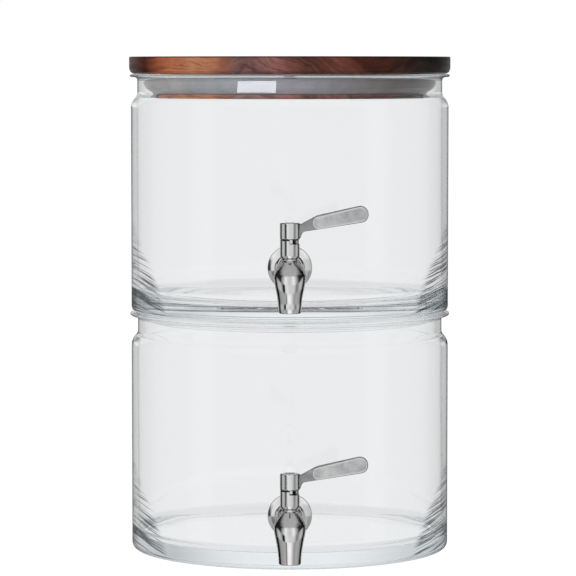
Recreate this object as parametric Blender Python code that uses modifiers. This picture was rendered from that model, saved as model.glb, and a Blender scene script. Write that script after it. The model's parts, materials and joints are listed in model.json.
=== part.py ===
"""Two-tier stacking glass dispenser with a wooden lid and two quarter-turn steel spigots.

Frame: metres, +Z up, origin at the centre of the resting plane under the lower jar.
-Y is the front, where the spigots stand out, and +X is the side the closed levers point to.

  lower_jar   : plain flat base, stands on the table
  upper_jar   : same jar with a ring foot that drops into the lower jar's neck
  lid_*       : wooden board, wooden plug and silicone gasket, one lift-off lid
  lower_*/upper_* spigot pieces : body, valve plug, O-rings, retaining bush, lever, screw, stop pin,
                escutcheon, seals, washer and nut
"""

import math

import bpy
import bmesh
import numpy as np
from mathutils import Vector

MM = 0.001

# ---------------------------------------------------------------- main dimensions, millimetres
GAP = 0.3                  # clearance kept between pieces that rest on each other
JAR_PITCH = 190.0          # body bottom plane to lip top of one jar
JAR_R = 127.0              # outer radius of the body
WALL = 4.5                 # glass wall
JAR_STEPS = 48             # segments round the jars and the lid
SHANK_Z = 43.0             # spigot axis above the jar's bottom plane
BARREL_OUT = 26.0          # valve axis, outward from the glass

UPPER_Z = JAR_PITCH + GAP
LID_Z = UPPER_Z + JAR_PITCH + GAP

# ---------------------------------------------------------------- scene
for old in list(bpy.data.objects):
    bpy.data.objects.remove(old, do_unlink=True)

PARTS = bpy.data.collections.new("glass_dispenser")
TOOLS = bpy.data.collections.new("cutters")
bpy.context.scene.collection.children.link(PARTS)
bpy.context.scene.collection.children.link(TOOLS)


# ---------------------------------------------------------------- materials
def material(name, colour, roughness, metallic=0.0, transmission=0.0):
    mat = bpy.data.materials.new(name)
    mat.use_nodes = True
    inputs = mat.node_tree.nodes["Principled BSDF"].inputs
    inputs["Base Color"].default_value = (*colour, 1.0)
    inputs["Roughness"].default_value = roughness
    inputs["Metallic"].default_value = metallic
    inputs["Transmission Weight"].default_value = transmission
    return mat


GLASS = material("clear_glass", colour=(0.94, 0.96, 0.96), roughness=0.02, transmission=1.0)
WOOD = material("acacia_wood", colour=(0.23, 0.10, 0.055), roughness=0.45)
WOOD_PLUG = material("acacia_plug", colour=(0.30, 0.15, 0.09), roughness=0.5)
STEEL = material("polished_steel", colour=(0.72, 0.72, 0.72), roughness=0.12, metallic=1.0)
SATIN = material("satin_steel", colour=(0.55, 0.55, 0.56), roughness=0.35, metallic=1.0)
SILICONE = material("grey_silicone", colour=(0.45, 0.45, 0.47), roughness=0.5)
SEAL = material("clear_silicone", colour=(0.80, 0.82, 0.83), roughness=0.45)
RUBBER = material("black_rubber", colour=(0.03, 0.03, 0.03), roughness=0.6)


# ---------------------------------------------------------------- points and outlines, millimetres
def shifted(point, x=0.0, y=0.0, z=0.0):
    return (point[0] + x, point[1] + y, point[2] + z)


def polar(radius, degrees):
    angle = math.radians(degrees)
    return radius * math.cos(angle), radius * math.sin(angle)


def arc(centre, radius, start, end, count):
    """count + 1 points on an arc, with start and end in degrees."""
    points = []
    for k in range(count + 1):
        x, z = polar(radius, start + (end - start) * k / count)
        points.append((centre[0] + x, centre[1] + z))
    return points


def ring_section(inner, outer, top, bottom):
    return [(inner, top), (outer, top), (outer, bottom), (inner, bottom)]


def rounded_outline(corners, per_corner=4):
    """Corner points (x, z, fillet radius) joined by straight lines and arcs."""
    points = []
    for i, (x, z, radius) in enumerate(corners):
        if radius <= 0:
            points.append((x, z))
            continue
        corner = Vector((x, z))
        to_last = (Vector(corners[i - 1][:2]) - corner).normalized()
        to_next = (Vector(corners[(i + 1) % len(corners)][:2]) - corner).normalized()
        half = to_last.angle(to_next) / 2
        reach = radius / math.tan(half)
        centre = corner + (to_last + to_next).normalized() * (radius / math.sin(half))
        first = corner + to_last * reach - centre
        last = corner + to_next * reach - centre
        start = math.degrees(math.atan2(first.y, first.x))
        end = math.degrees(math.atan2(last.y, last.x))
        sweep = (end - start + 180) % 360 - 180
        points += arc(centre, radius, start, start + sweep, per_corner)
    return points


# ---------------------------------------------------------------- modelling helpers
# All take millimetres. A shape without a material is a cutter or a form for a boolean.
def link(obj, mat=None):
    if mat is None:
        TOOLS.objects.link(obj)
        obj.hide_render = True
        obj.display_type = "WIRE"
    else:
        PARTS.objects.link(obj)
        obj.data.materials.append(mat)
    return obj


def lathe(name, profile, mat, steps, closed=False, location=(0, 0, 0), outward=False):
    """A turned shape. profile is (radius, height). With outward=True the turning axis points
    out of the jar's front (-Y) instead of up."""
    mesh = bpy.data.meshes.new(name)
    verts = [(r * MM, 0.0, h * MM) for r, h in profile]
    edges = [(i, i + 1) for i in range(len(verts) - 1)]
    if closed:
        edges.append((len(verts) - 1, 0))
    mesh.from_pydata(verts, edges, [])
    obj = link(bpy.data.objects.new(name, mesh), mat)
    turn = obj.modifiers.new("turn", "SCREW")
    turn.axis = "Z"
    turn.angle = 2 * math.pi
    turn.steps = turn.render_steps = steps
    turn.use_merge_vertices = True
    turn.merge_threshold = 1e-6
    turn.use_smooth_shade = True
    obj.location = [c * MM for c in location]
    if outward:
        obj.rotation_euler = (math.pi / 2, 0, 0)
    return obj


def evaluated_mesh(obj):
    graph = bpy.context.evaluated_depsgraph_get()
    return bpy.data.meshes.new_from_object(obj.evaluated_get(graph), depsgraph=graph)


def leaning(name, stations, location, steps):
    """A turned form whose centre moves outward with height, like a horn."""
    heights, _, leans = zip(*stations)
    profile = [(0.0, heights[0])] + [(r, h) for h, r, _ in stations] + [(0.0, heights[-1])]
    obj = lathe(name, profile, None, steps)
    # The turning is made real, so that its vertices can be moved.
    mesh = evaluated_mesh(obj)
    obj.modifiers.clear()
    obj.data = mesh
    for v in mesh.vertices:
        # np.interp needs rising heights, and the stations run downward.
        v.co.y -= float(np.interp(v.co.z / MM, heights[::-1], leans[::-1])) * MM
    obj.location = [c * MM for c in location]
    return obj


def place_active(name, location, mat=None):
    """Names and places the primitive just added, and moves it to its own collection."""
    obj = bpy.context.active_object
    obj.name = name
    for owner in list(obj.users_collection):
        owner.objects.unlink(obj)
    obj.location = [c * MM for c in location]
    return link(obj, mat)


def box(name, size, location):
    """A box form; its size is baked into the mesh so the scale stays 1."""
    bpy.ops.mesh.primitive_cube_add(size=1.0)
    obj = place_active(name, location)
    for v in obj.data.vertices:
        v.co = [v.co[i] * size[i] * MM for i in range(3)]
    return obj


AXIS_TURN = {"X": (0, math.pi / 2, 0), "Y": (math.pi / 2, 0, 0), "Z": (0, 0, 0)}


def cylinder(name, radius, length, location, sides, axis="Z", mat=None):
    bpy.ops.mesh.primitive_cylinder_add(vertices=sides, radius=radius * MM, depth=length * MM)
    obj = place_active(name, location, mat)
    obj.rotation_euler = AXIS_TURN[axis]
    return obj


def plate(name, outline, thickness, location, upright=True):
    """A flat outline form: in XZ and thickened along Y, or in XY and thickened along Z."""
    curve = bpy.data.curves.new(name, "CURVE")
    curve.dimensions = "2D"
    curve.fill_mode = "BOTH"
    curve.extrude = thickness / 2 * MM
    spline = curve.splines.new("POLY")
    spline.points.add(len(outline) - 1)
    for point, (x, y) in zip(spline.points, outline):
        point.co = (x * MM, y * MM, 0, 1)
    spline.use_cyclic_u = True
    maker = bpy.data.objects.new(name + "_outline", curve)
    bpy.context.scene.collection.objects.link(maker)
    mesh = evaluated_mesh(maker)
    bpy.data.objects.remove(maker, do_unlink=True)

    # The curve's caps and sides come unjoined; weld them into a closed solid.
    bm = bmesh.new()
    bm.from_mesh(mesh)
    bmesh.ops.remove_doubles(bm, verts=bm.verts, dist=1e-6)
    bmesh.ops.recalc_face_normals(bm, faces=bm.faces)
    bm.to_mesh(mesh)
    bm.free()
    mesh.name = name
    obj = link(bpy.data.objects.new(name, mesh))
    obj.location = [c * MM for c in location]
    if upright:
        obj.rotation_euler = (math.pi / 2, 0, 0)
    return obj


def boolean(obj, other, operation):
    step = obj.modifiers.new(operation.lower(), "BOOLEAN")
    step.operation = operation
    step.solver = "EXACT"
    step.object = other


def drill(obj, name, radius, length, location, sides, axis="Z"):
    boolean(obj, cylinder(name, radius, length, location, sides, axis), "DIFFERENCE")


# ---------------------------------------------------------------- jars
BASE = 12.0                # glass base, underside to inner floor
CORNER_R = 5.0             # outer corner at the base
FLOOR_CORNER_R = 9.0       # inner corner at the floor
SHOULDER_Z = 163.5         # top of the straight body
NECK_Z = 175.6             # bottom of the straight neck
NECK_R = 121.9             # outer radius of the neck
NECK_BORE = 117.5          # inner radius of the neck
LIP_R = 128.0              # outer radius of the rolled lip
FOOT_R = 111.0             # ring foot of the upper jar
FOOT_H = 8.4
HOLE_R = 8.2               # hole drilled through the glass
HOLE_CUT = 30.0            # length of its cutter

# (radius, height) from the body's inner wall over the lip and down to its outer wall
INNER_R = JAR_R - WALL
JAR_UPPER_PROFILE = [
    (INNER_R, SHOULDER_Z),
    (INNER_R - 0.7, 166.8),
    (INNER_R - 2.5, 169.5),
    (NECK_BORE + 0.7, 172.3),
    (NECK_BORE, NECK_Z),
    (NECK_BORE, JAR_PITCH - 1.6),
    (NECK_BORE + 1.4, JAR_PITCH),
    (LIP_R - 1.4, JAR_PITCH),
    (LIP_R, JAR_PITCH - 1.6),
    (LIP_R - 1.0, JAR_PITCH - 3.1),
    (NECK_R + 2.1, JAR_PITCH - 4.1),
    (NECK_R + 0.5, JAR_PITCH - 5.1),
    (NECK_R, JAR_PITCH - 6.4),
    (NECK_R, NECK_Z),
    (NECK_R + 0.3, 174.1),
    (NECK_R + 1.2, 172.7),
    (JAR_R - 1.8, 170.0),
    (JAR_R - 0.5, 166.9),
    (JAR_R, SHOULDER_Z),
]
# (radius, height) of the ring foot, from its outer side to the centre of the underside
FOOT_PROFILE = [
    (FOOT_R + 1.0, 0.0),
    (FOOT_R, -1.0),
    (FOOT_R - 0.4, -FOOT_H + 1.6),
    (FOOT_R - 2.2, -FOOT_H),
    (FOOT_R - 9.6, -FOOT_H),
    (FOOT_R - 11.2, -FOOT_H + 1.4),
    (FOOT_R - 11.6, -2.6),
    (FOOT_R - 13.2, -1.2),
    (0.0, -1.2),
]
FLAT_BASE_PROFILE = [(0.0, 0.0)]


def jar(name, base_z, base_profile):
    floor_corner = (INNER_R - FLOOR_CORNER_R, BASE + FLOOR_CORNER_R)
    profile = [
        (0.0, BASE),
        *arc(floor_corner, FLOOR_CORNER_R, -90, 0, 3),
        *JAR_UPPER_PROFILE,
        *arc((JAR_R - CORNER_R, CORNER_R), CORNER_R, 0, -90, 3),
        *base_profile,
    ]
    obj = lathe(name, profile, GLASS, JAR_STEPS, location=(0, 0, base_z))
    at = (0, -JAR_R, base_z + SHANK_Z)
    drill(obj, name + "_hole", HOLE_R, HOLE_CUT, at, sides=20, axis="Y")


# ---------------------------------------------------------------- lid
LID_R = 128.4
LID_T = 13.6
PLUG_R = 107.2             # flange of the wooden plug
PLUG_CORE_R = 103.6
PLUG_DEPTH = 20.4
PLUG_FLANGE_T = 4.4
GASKET_R = 117.0
GASKET_BORE = PLUG_CORE_R + 0.5
GASKET_TOP = -0.7
GASKET_BOTTOM = -15.6

# (radius, height above the board's underside)
BOARD_PROFILE = [
    (0.0, LID_T),
    (LID_R - 1.2, LID_T),
    (LID_R, LID_T - 1.2),
    (LID_R, 3.0),
    (LID_R - 0.9, 0.9),
    (LID_R - 3.0, 0.0),
    (0.0, 0.0),
]
LID_PLUG_PROFILE = [
    (0.0, -GAP),
    (PLUG_CORE_R, -GAP),
    (PLUG_CORE_R, -PLUG_DEPTH + PLUG_FLANGE_T),
    (PLUG_R, -PLUG_DEPTH + PLUG_FLANGE_T),
    (PLUG_R, -PLUG_DEPTH + 0.8),
    (PLUG_R - 0.8, -PLUG_DEPTH),
    (0.0, -PLUG_DEPTH),
]
GASKET_PROFILE = [
    (GASKET_BORE, GASKET_TOP),
    (GASKET_R - 0.8, GASKET_TOP),
    (GASKET_R, -1.5),
    (GASKET_R, -7.8),
    (GASKET_R - 1.6, -11.0),
    (GASKET_R - 5.2, -13.8),
    (PLUG_R + 0.6, GASKET_BOTTOM),
    (GASKET_BORE, GASKET_BOTTOM),
]


def lid():
    at = (0, 0, LID_Z)
    lathe("lid_board", BOARD_PROFILE, WOOD, JAR_STEPS, location=at)
    lathe("lid_plug", LID_PLUG_PROFILE, WOOD_PLUG, JAR_STEPS, location=at)
    lathe("lid_gasket", GASKET_PROFILE, SILICONE, JAR_STEPS, closed=True, location=at)


# ---------------------------------------------------------------- spigot body
# Spigot pieces are placed from two points on the shank axis: valve, where the upright valve
# axis crosses it, and wall, at the outer radius of the glass. Heights are above that axis.
BARREL_R = 7.4
BARREL_TOP = 22.2
SHANK_R = 7.6
PORT_Z = -1.0              # front port and the valve plug's cross hole
CHAMBER_R = 4.8
CHAMBER_FLOOR = -6.5
CHAMBER_CUT = 30.0         # length of the chamber's cutter
SHANK_BORE_R = 4.0
SHANK_BORE_END = 21.0      # inward from the wall point
FRONT_PORT_R = 2.5
FRONT_PORT_REACH = 7.6     # outward from the valve axis
SLOT_R = 12.0
SLOT_CUT = 6.0             # height of the stop slot's cutter
SLOT_ANGLES = (-91, -68, -46, -23, 0, 21)  # degrees from +X, front to back

# (radius, height)
BARREL_PROFILE = [
    (0.0, BARREL_TOP),
    (BARREL_R - 0.3, BARREL_TOP),
    (BARREL_R, BARREL_TOP - 0.3),
    (BARREL_R, 10.0),
    (BARREL_R - 0.6, 8.5),
    (6.3, 7.6),
    (6.0, 7.0),
    (6.3, 6.2),
    (7.0, 3.0),
    (7.0, -5.0),
    (6.2, -8.0),
    (4.0, -9.8),
    (0.0, -10.0),
]
# (radius, distance outward from the wall point)
SHANK_PROFILE = [
    (0.0, 24.0),
    (6.6, 24.0),
    (7.2, 11.0),
    (8.2, 9.6),
    (9.2, 8.4),
    (9.2, 7.5),
    (SHANK_R, 7.5),
    (SHANK_R, -19.0),
    (SHANK_R - 1.0, -20.0),
    (0.0, -20.0),
]
# Spout: height, radius, and how far its centre stands out of the valve axis.
SPOUT = [
    (7.1, 5.2, 0.0),
    (4.8, 7.8, 0.8),
    (1.8, 9.9, 2.1),
    (-1.2, 11.5, 3.6),
    (-4.4, 12.3, 5.3),
    (-7.6, 12.05, 6.8),
    (-12.4, 11.15, 8.6),
    (-19.5, 9.75, 9.9),
    (-30.2, 8.55, 10.5),
    (-31.7, 8.2, 10.5),
    (-32.4, 7.5, 10.5),
]
# The passage inside it, below and in front of the valve chamber, in the same columns.
SPOUT_BORE = [
    (-0.2, 2.4, 8.3),
    (-4.0, 4.2, 10.2),
    (-8.2, 5.4, 10.7),
    (-14.0, 6.6, 9.4),
    (-20.0, 6.7, 9.9),
    (-27.0, 6.5, 10.4),
    (-35.0, 6.4, 10.5),
]


def spigot_body(tier, valve, wall):
    """Valve barrel, shank and spout in one casting, with its passages."""
    body = lathe(tier + "_spigot_body", BARREL_PROFILE, STEEL, 20, location=valve)
    boolean(body, leaning(tier + "_spout_form", SPOUT, valve, 20), "UNION")
    shank = lathe(tier + "_shank_form", SHANK_PROFILE, None, 20, location=wall, outward=True)
    boolean(body, shank, "UNION")

    at = shifted(valve, z=CHAMBER_FLOOR + CHAMBER_CUT / 2)
    drill(body, tier + "_chamber_bore", CHAMBER_R, CHAMBER_CUT, at, sides=16)
    length = BARREL_OUT + SHANK_BORE_END
    at = shifted(valve, y=length / 2)
    drill(body, tier + "_shank_bore", SHANK_BORE_R, length, at, sides=14, axis="Y")
    length = FRONT_PORT_REACH
    at = shifted(valve, y=-length / 2, z=PORT_Z)
    drill(body, tier + "_front_port", FRONT_PORT_R, length, at, sides=12, axis="Y")
    boolean(body, leaning(tier + "_spout_bore", SPOUT_BORE, valve, 16), "DIFFERENCE")

    # Stop slot in the barrel's rim: the stop pin's quarter turn and a little clearance.
    sector = [(0.0, 0.0)] + [polar(SLOT_R, angle) for angle in SLOT_ANGLES]
    at = shifted(valve, z=BARREL_TOP + 0.1)
    slot = plate(tier + "_stop_slot", sector, SLOT_CUT, at, upright=False)
    boolean(body, slot, "DIFFERENCE")


# ---------------------------------------------------------------- valve plug, O-rings and bush
VALVE_PLUG_R = 4.6
PLUG_SHOULDER_Z = 15.0
PLUG_BOTTOM = -6.2
STEM_R = 3.0
STEM_TOP = 19.4
O_RINGS = {"low": 8.1, "high": 12.1}  # heights
O_RING_R = 3.78            # axis to the middle of the ring's section
O_RING_SECTION_R = 0.8
GROOVE_R = 2.9
GROOVE_W = 2.0
DRIVE_SIDE = 4.2           # square drive
DRIVE_H = 12.6
DRIVE_Z = 24.7             # its middle
CROSS_HOLE_R = 2.7
CROSS_HOLE_CUT = 14.0
SCREW_HOLE_R = 1.25
SCREW_HOLE_CUT = 10.0
SCREW_HOLE_Z = 28.0        # middle of its cutter
BUSH_SECTION = ring_section(inner=3.25, outer=4.55, top=18.9, bottom=15.4)


def valve_plug(tier, valve):
    """Plug with a cross hole, two O-ring grooves, a round stem and a square drive."""
    profile = [(0.0, STEM_TOP), (STEM_R, STEM_TOP), (STEM_R, PLUG_SHOULDER_Z)]
    profile.append((VALVE_PLUG_R, PLUG_SHOULDER_Z))
    for height in (O_RINGS["high"], O_RINGS["low"]):
        top = height + GROOVE_W / 2
        bottom = height - GROOVE_W / 2
        profile += [(VALVE_PLUG_R, top), (GROOVE_R, top)]
        profile += [(GROOVE_R, bottom), (VALVE_PLUG_R, bottom)]
    profile += [(VALVE_PLUG_R, PLUG_BOTTOM), (0.0, PLUG_BOTTOM)]
    plug = lathe(tier + "_valve_plug", profile, STEEL, 16, location=valve)

    size = (DRIVE_SIDE, DRIVE_SIDE, DRIVE_H)
    boolean(plug, box(tier + "_square_drive", size, shifted(valve, z=DRIVE_Z)), "UNION")
    at = shifted(valve, z=PORT_Z)
    drill(plug, tier + "_cross_hole", CROSS_HOLE_R, CROSS_HOLE_CUT, at, sides=12, axis="X")
    at = shifted(valve, z=SCREW_HOLE_Z)
    drill(plug, tier + "_screw_hole", SCREW_HOLE_R, SCREW_HOLE_CUT, at, sides=8)


def o_rings(tier, valve):
    for place, height in O_RINGS.items():
        section = arc((O_RING_R, height), O_RING_SECTION_R, 90, -210, 5)
        lathe(f"{tier}_o_ring_{place}", section, RUBBER, 16, closed=True, location=valve)


def retaining_bush(tier, valve):
    """Bush at the top of the barrel that holds the plug down."""
    lathe(tier + "_retaining_bush", BUSH_SECTION, STEEL, 16, closed=True, location=valve)


# ---------------------------------------------------------------- lever, screw and stop pin
HUB_R = 7.6
HUB_BOTTOM = 22.9
HUB_TOP = 35.4
LEVER_T = 3.4
POCKET_CUT = 1.0           # thickness of the pocket's cutter, half of it inside the arm
SOCKET_SIZE = (4.6, 4.6, 8.6)
SOCKET_Z = 27.1            # middle of the square socket
CLEARANCE_R = 1.6          # hole for the screw's shaft
CLEARANCE_CUT = 6.0
CLEARANCE_Z = 33.0
RECESS_R = 3.9             # recess for the screw's head
RECESS_DEPTH = 2.2
RECESS_CUT = 4.0
HEX_R = 1.5                # key socket in the screw's head
HEX_CUT = 2.4
HEX_Z = 35.4
PIN_OUT = 5.75             # stop pin, from the valve axis
PIN_TURN = 10.0            # its angle behind the closed lever, degrees
PIN_R = 0.8
PIN_LENGTH = 5.9
PIN_Z = 22.85              # its middle
PIN_HOLE_R = 1.0
PIN_HOLE_CUT = 7.0

# (radius, height)
HUB_PROFILE = [
    (0.0, HUB_TOP),
    (HUB_R - 0.7, HUB_TOP),
    (HUB_R, HUB_TOP - 0.7),
    (HUB_R, HUB_BOTTOM + 0.3),
    (HUB_R - 0.3, HUB_BOTTOM),
    (0.0, HUB_BOTTOM),
]
SCREW_PROFILE = [
    (0.0, 35.2),
    (2.6, 35.2),
    (3.5, 34.5),
    (3.5, 33.5),
    (1.05, 33.5),
    (1.05, 24.2),
    (0.0, 24.2),
]
# Front outlines of the arm with its paddle, and of the pocket: (x, height, fillet radius)
ARM_CORNERS = [
    (4.6, 25.6, 0),
    (8.0, 24.3, 0),
    (9.7, 28.6, 3.4),
    (60.4, 36.5, 6.1),
    (58.1, 49.5, 6.1),
    (20.5, 41.1, 12.0),
    (7.6, 34.1, 0),
    (4.6, 33.0, 0),
]
POCKET_CORNERS = [
    (18.3, 31.1, 3.8),
    (58.7, 37.7, 4.8),
    (56.9, 47.7, 4.8),
    (18.5, 38.5, 3.4),
]


def lever(tier, valve, pin_axis):
    """Hub, arm and paddle in one piece, with a shallow pocket in the front face."""
    obj = lathe(tier + "_lever", HUB_PROFILE, SATIN, 20, location=valve)
    arm = plate(tier + "_arm_form", rounded_outline(ARM_CORNERS), LEVER_T, valve)
    boolean(obj, arm, "UNION")
    at = shifted(valve, y=-LEVER_T / 2)
    pocket = plate(tier + "_paddle_pocket", rounded_outline(POCKET_CORNERS), POCKET_CUT, at)
    boolean(obj, pocket, "DIFFERENCE")
    socket = box(tier + "_square_socket", SOCKET_SIZE, shifted(valve, z=SOCKET_Z))
    boolean(obj, socket, "DIFFERENCE")
    at = shifted(valve, z=CLEARANCE_Z)
    drill(obj, tier + "_screw_clearance", CLEARANCE_R, CLEARANCE_CUT, at, sides=10)
    at = shifted(valve, z=HUB_TOP - RECESS_DEPTH + RECESS_CUT / 2)
    drill(obj, tier + "_head_recess", RECESS_R, RECESS_CUT, at, sides=20)
    at = shifted(pin_axis, z=HUB_BOTTOM)
    drill(obj, tier + "_pin_hole", PIN_HOLE_R, PIN_HOLE_CUT, at, sides=10)


def lever_screw(tier, valve):
    screw = lathe(tier + "_lever_screw", SCREW_PROFILE, STEEL, 12, location=valve)
    drill(screw, tier + "_hex_key", HEX_R, HEX_CUT, shifted(valve, z=HEX_Z), sides=6)


def stop_pin(tier, pin_axis):
    at = shifted(pin_axis, z=PIN_Z)
    cylinder(tier + "_stop_pin", PIN_R, PIN_LENGTH, at, sides=8, mat=STEEL)


# ---------------------------------------------------------------- pieces clamped to the glass
# Distances are outward from the wall point, so those inside the jar are negative.
RING_BORE = 8.0            # bore of the escutcheon, seals and washer
ESC_R = 17.0
ESC_BACK = 3.0
SEAL_DEEP = -3.0           # seals start here, before they are shaped to the glass
INNER_SEAL_END = -7.4
WASHER_FACE = INNER_SEAL_END - GAP
WASHER_END = -9.0
NUT_T = 6.0
NUT_FLAT_R = 12.0          # centre to the middle of a flat
NUT_BORE_R = 7.95
NUT_BORE_CUT = 8.0
GLASS_CUT = 60.0           # height of the cylinders that shape the seals
OUTER_FACE_R = JAR_R + 0.2
INNER_FACE_R = INNER_R - 0.25

ESCUTCHEON_PROFILE = [
    (RING_BORE, 7.1),
    (9.6, 7.1),
    (10.6, 6.5),
    (13.2, 5.3),
    (16.3, 4.5),
    (ESC_R, 3.8),
    (ESC_R, ESC_BACK),
    (RING_BORE, ESC_BACK),
]
OUTER_SEAL_SECTION = ring_section(RING_BORE, 16.0, ESC_BACK - GAP, SEAL_DEEP)
INNER_SEAL_SECTION = ring_section(RING_BORE, 14.0, SEAL_DEEP, INNER_SEAL_END)
WASHER_SECTION = ring_section(RING_BORE, 13.5, WASHER_FACE, WASHER_END)


def wall_ring(name, section, mat, wall):
    return lathe(name, section, mat, 24, closed=True, location=wall, outward=True)


def wall_seals(tier, wall):
    """Silicone seals on both sides of the wall, each shaped to the round glass."""
    jar_axis = (0, 0, wall[2])
    outer = wall_ring(tier + "_outer_seal", OUTER_SEAL_SECTION, SEAL, wall)
    drill(outer, tier + "_glass_face", OUTER_FACE_R, GLASS_CUT, jar_axis, JAR_STEPS)
    inner = wall_ring(tier + "_inner_seal", INNER_SEAL_SECTION, SEAL, wall)
    bore = cylinder(tier + "_glass_bore", INNER_FACE_R, GLASS_CUT, jar_axis, JAR_STEPS)
    boolean(inner, bore, "INTERSECT")


def shank_nut(tier, wall):
    at = shifted(wall, y=-WASHER_END + GAP + NUT_T / 2)
    radius = NUT_FLAT_R / math.cos(math.pi / 6)
    nut = cylinder(tier + "_shank_nut", radius, NUT_T, at, sides=6, axis="Y", mat=STEEL)
    drill(nut, tier + "_nut_bore", NUT_BORE_R, NUT_BORE_CUT, at, sides=20, axis="Y")


# ---------------------------------------------------------------- assembly
def spigot(tier, base_z):
    wall = (0, -JAR_R, base_z + SHANK_Z)
    valve = shifted(wall, y=-BARREL_OUT)
    pin_axis = shifted(valve, *polar(PIN_OUT, PIN_TURN))
    spigot_body(tier, valve, wall)
    valve_plug(tier, valve)
    o_rings(tier, valve)
    retaining_bush(tier, valve)
    lever(tier, valve, pin_axis)
    lever_screw(tier, valve)
    stop_pin(tier, pin_axis)
    wall_ring(tier + "_escutcheon", ESCUTCHEON_PROFILE, STEEL, wall)
    wall_seals(tier, wall)
    wall_ring(tier + "_flat_washer", WASHER_SECTION, STEEL, wall)
    shank_nut(tier, wall)


for tier_name, tier_z, underside in (
    ("lower", 0.0, FLAT_BASE_PROFILE),
    ("upper", UPPER_Z, FOOT_PROFILE),
):
    jar(tier_name + "_jar", tier_z, underside)
    spigot(tier_name, tier_z)
lid()
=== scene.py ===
"""A drinks dispenser of two stacked glass jars, each with a spigot, under a wooden lid.

The jars stand on the Z axis and the spigots point to the front, -Y. Modelling lengths are in
millimetres; materials, lights and camera are in metres.
"""

import itertools
import json
import math
import bpy
import bmesh
import numpy as np
from mathutils import Matrix, Vector


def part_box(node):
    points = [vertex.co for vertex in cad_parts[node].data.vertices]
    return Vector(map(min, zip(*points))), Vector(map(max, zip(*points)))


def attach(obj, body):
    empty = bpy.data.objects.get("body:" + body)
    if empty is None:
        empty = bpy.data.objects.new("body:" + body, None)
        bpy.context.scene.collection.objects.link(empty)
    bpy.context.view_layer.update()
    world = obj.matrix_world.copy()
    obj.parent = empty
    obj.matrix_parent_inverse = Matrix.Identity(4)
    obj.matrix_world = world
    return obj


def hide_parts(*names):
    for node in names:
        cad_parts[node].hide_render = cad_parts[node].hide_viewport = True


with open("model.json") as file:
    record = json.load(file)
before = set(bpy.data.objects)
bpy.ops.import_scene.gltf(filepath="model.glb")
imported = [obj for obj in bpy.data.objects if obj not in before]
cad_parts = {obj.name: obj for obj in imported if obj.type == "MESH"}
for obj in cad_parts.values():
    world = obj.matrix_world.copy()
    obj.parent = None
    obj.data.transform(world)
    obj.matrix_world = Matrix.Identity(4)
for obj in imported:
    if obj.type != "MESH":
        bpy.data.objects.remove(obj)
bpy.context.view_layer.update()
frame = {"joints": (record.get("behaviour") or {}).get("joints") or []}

MM = 0.001
TIERS = ("lower", "upper")

# ------------------------------------------------------------ driving sizes and places
JAR_H = 190.0
JAR_R = 127.0
WALL = 4.5
INNER_R = JAR_R - WALL
FLOOR_T = 12.0  # thickness of the jar's floor near its wall
HOLE_R = 8.2  # hole through the glass for the shank
SHOULDER_Z = 163.4  # where the straight wall ends
SHOULDER_TURN = 44.2  # steepest lean of the shoulder, degrees
BASES = {
    "lower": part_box("lower_jar")[0].z / MM,
    "upper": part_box("upper_jar")[1].z / MM - JAR_H,
}

lid_low, lid_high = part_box("lid_board")
LID_Z = lid_low.z / MM
LID_T = (lid_high.z - lid_low.z) / MM
LID_R = lid_high.x / MM

joints = {joint["name"]: joint for joint in frame["joints"]}
valve_place = joints["lower_valve_turn"]["pos_m"]
AXIS_Y = valve_place[1] / MM
SHANK_Z = valve_place[2] / MM - BASES["lower"]  # height of the shank over its jar's base

JAR_STEPS = 288
CASTING_CELL = 0.34
LEVER_CELL = 0.32


# ------------------------------------------------------------ mesh helpers
def shade(mesh, sharp=35.0):
    """Smooth shading, with edges over that many degrees left sharp."""
    mesh.shade_smooth()
    if sharp is not None:
        mesh.set_sharp_from_angle(angle=math.radians(sharp))


def link_object(name, mesh):
    obj = bpy.data.objects.new(name, mesh)
    bpy.context.scene.collection.objects.link(obj)
    return obj


def finish_mesh(name, verts, faces, sharp=35.0):
    mesh = bpy.data.meshes.new(name)
    mesh.from_pydata([tuple(c * MM for c in vert) for vert in verts], [], faces)
    work = bmesh.new()
    work.from_mesh(mesh)
    bmesh.ops.remove_doubles(work, verts=work.verts, dist=1e-7)
    bmesh.ops.recalc_face_normals(work, faces=work.faces)
    work.to_mesh(mesh)
    work.free()
    shade(mesh, sharp)
    return link_object(name, mesh)


def heading(start, end):
    """Unit direction from start to end, and the distance."""
    x, z = end[0] - start[0], end[1] - start[1]
    length = math.hypot(x, z)
    return x / length, z / length, length


def rounded(corners, closed=False, step=9.0):
    """Corners (x, z, optional fillet radius) joined by lines and arcs, as (x, z) points.

    Arcs get a point at least every step degrees.
    """
    path = []
    count = len(corners)
    for i, corner in enumerate(corners):
        x, z = corner[:2]
        radius = corner[2] if len(corner) > 2 else 0.0
        if radius <= 0 or (not closed and i in (0, count - 1)):
            path.append((x, z))
            continue
        back_x, back_z, back_run = heading(corner, corners[i - 1])
        next_x, next_z, next_run = heading(corner, corners[(i + 1) % count])
        cosine = back_x * next_x + back_z * next_z
        half = math.acos(max(-1.0, min(1.0, cosine))) / 2
        if half > math.radians(89.0):
            path.append((x, z))
            continue
        reach = min(radius / math.tan(half), 0.49 * back_run, 0.49 * next_run)
        radius = reach * math.tan(half)
        middle_x, middle_z = back_x + next_x, back_z + next_z
        middle = math.hypot(middle_x, middle_z)
        centre_x = x + middle_x / middle * radius / math.sin(half)
        centre_z = z + middle_z / middle * radius / math.sin(half)
        start = math.atan2(z + back_z * reach - centre_z, x + back_x * reach - centre_x)
        end = math.atan2(z + next_z * reach - centre_z, x + next_x * reach - centre_x)
        sweep = (end - start + math.pi) % (2 * math.pi) - math.pi
        pieces = max(2, int(math.ceil(abs(math.degrees(sweep)) / step)))
        for k in range(pieces + 1):
            turn = start + sweep * k / pieces
            path.append((centre_x + radius * math.cos(turn), centre_z + radius * math.sin(turn)))
    return path


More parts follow.
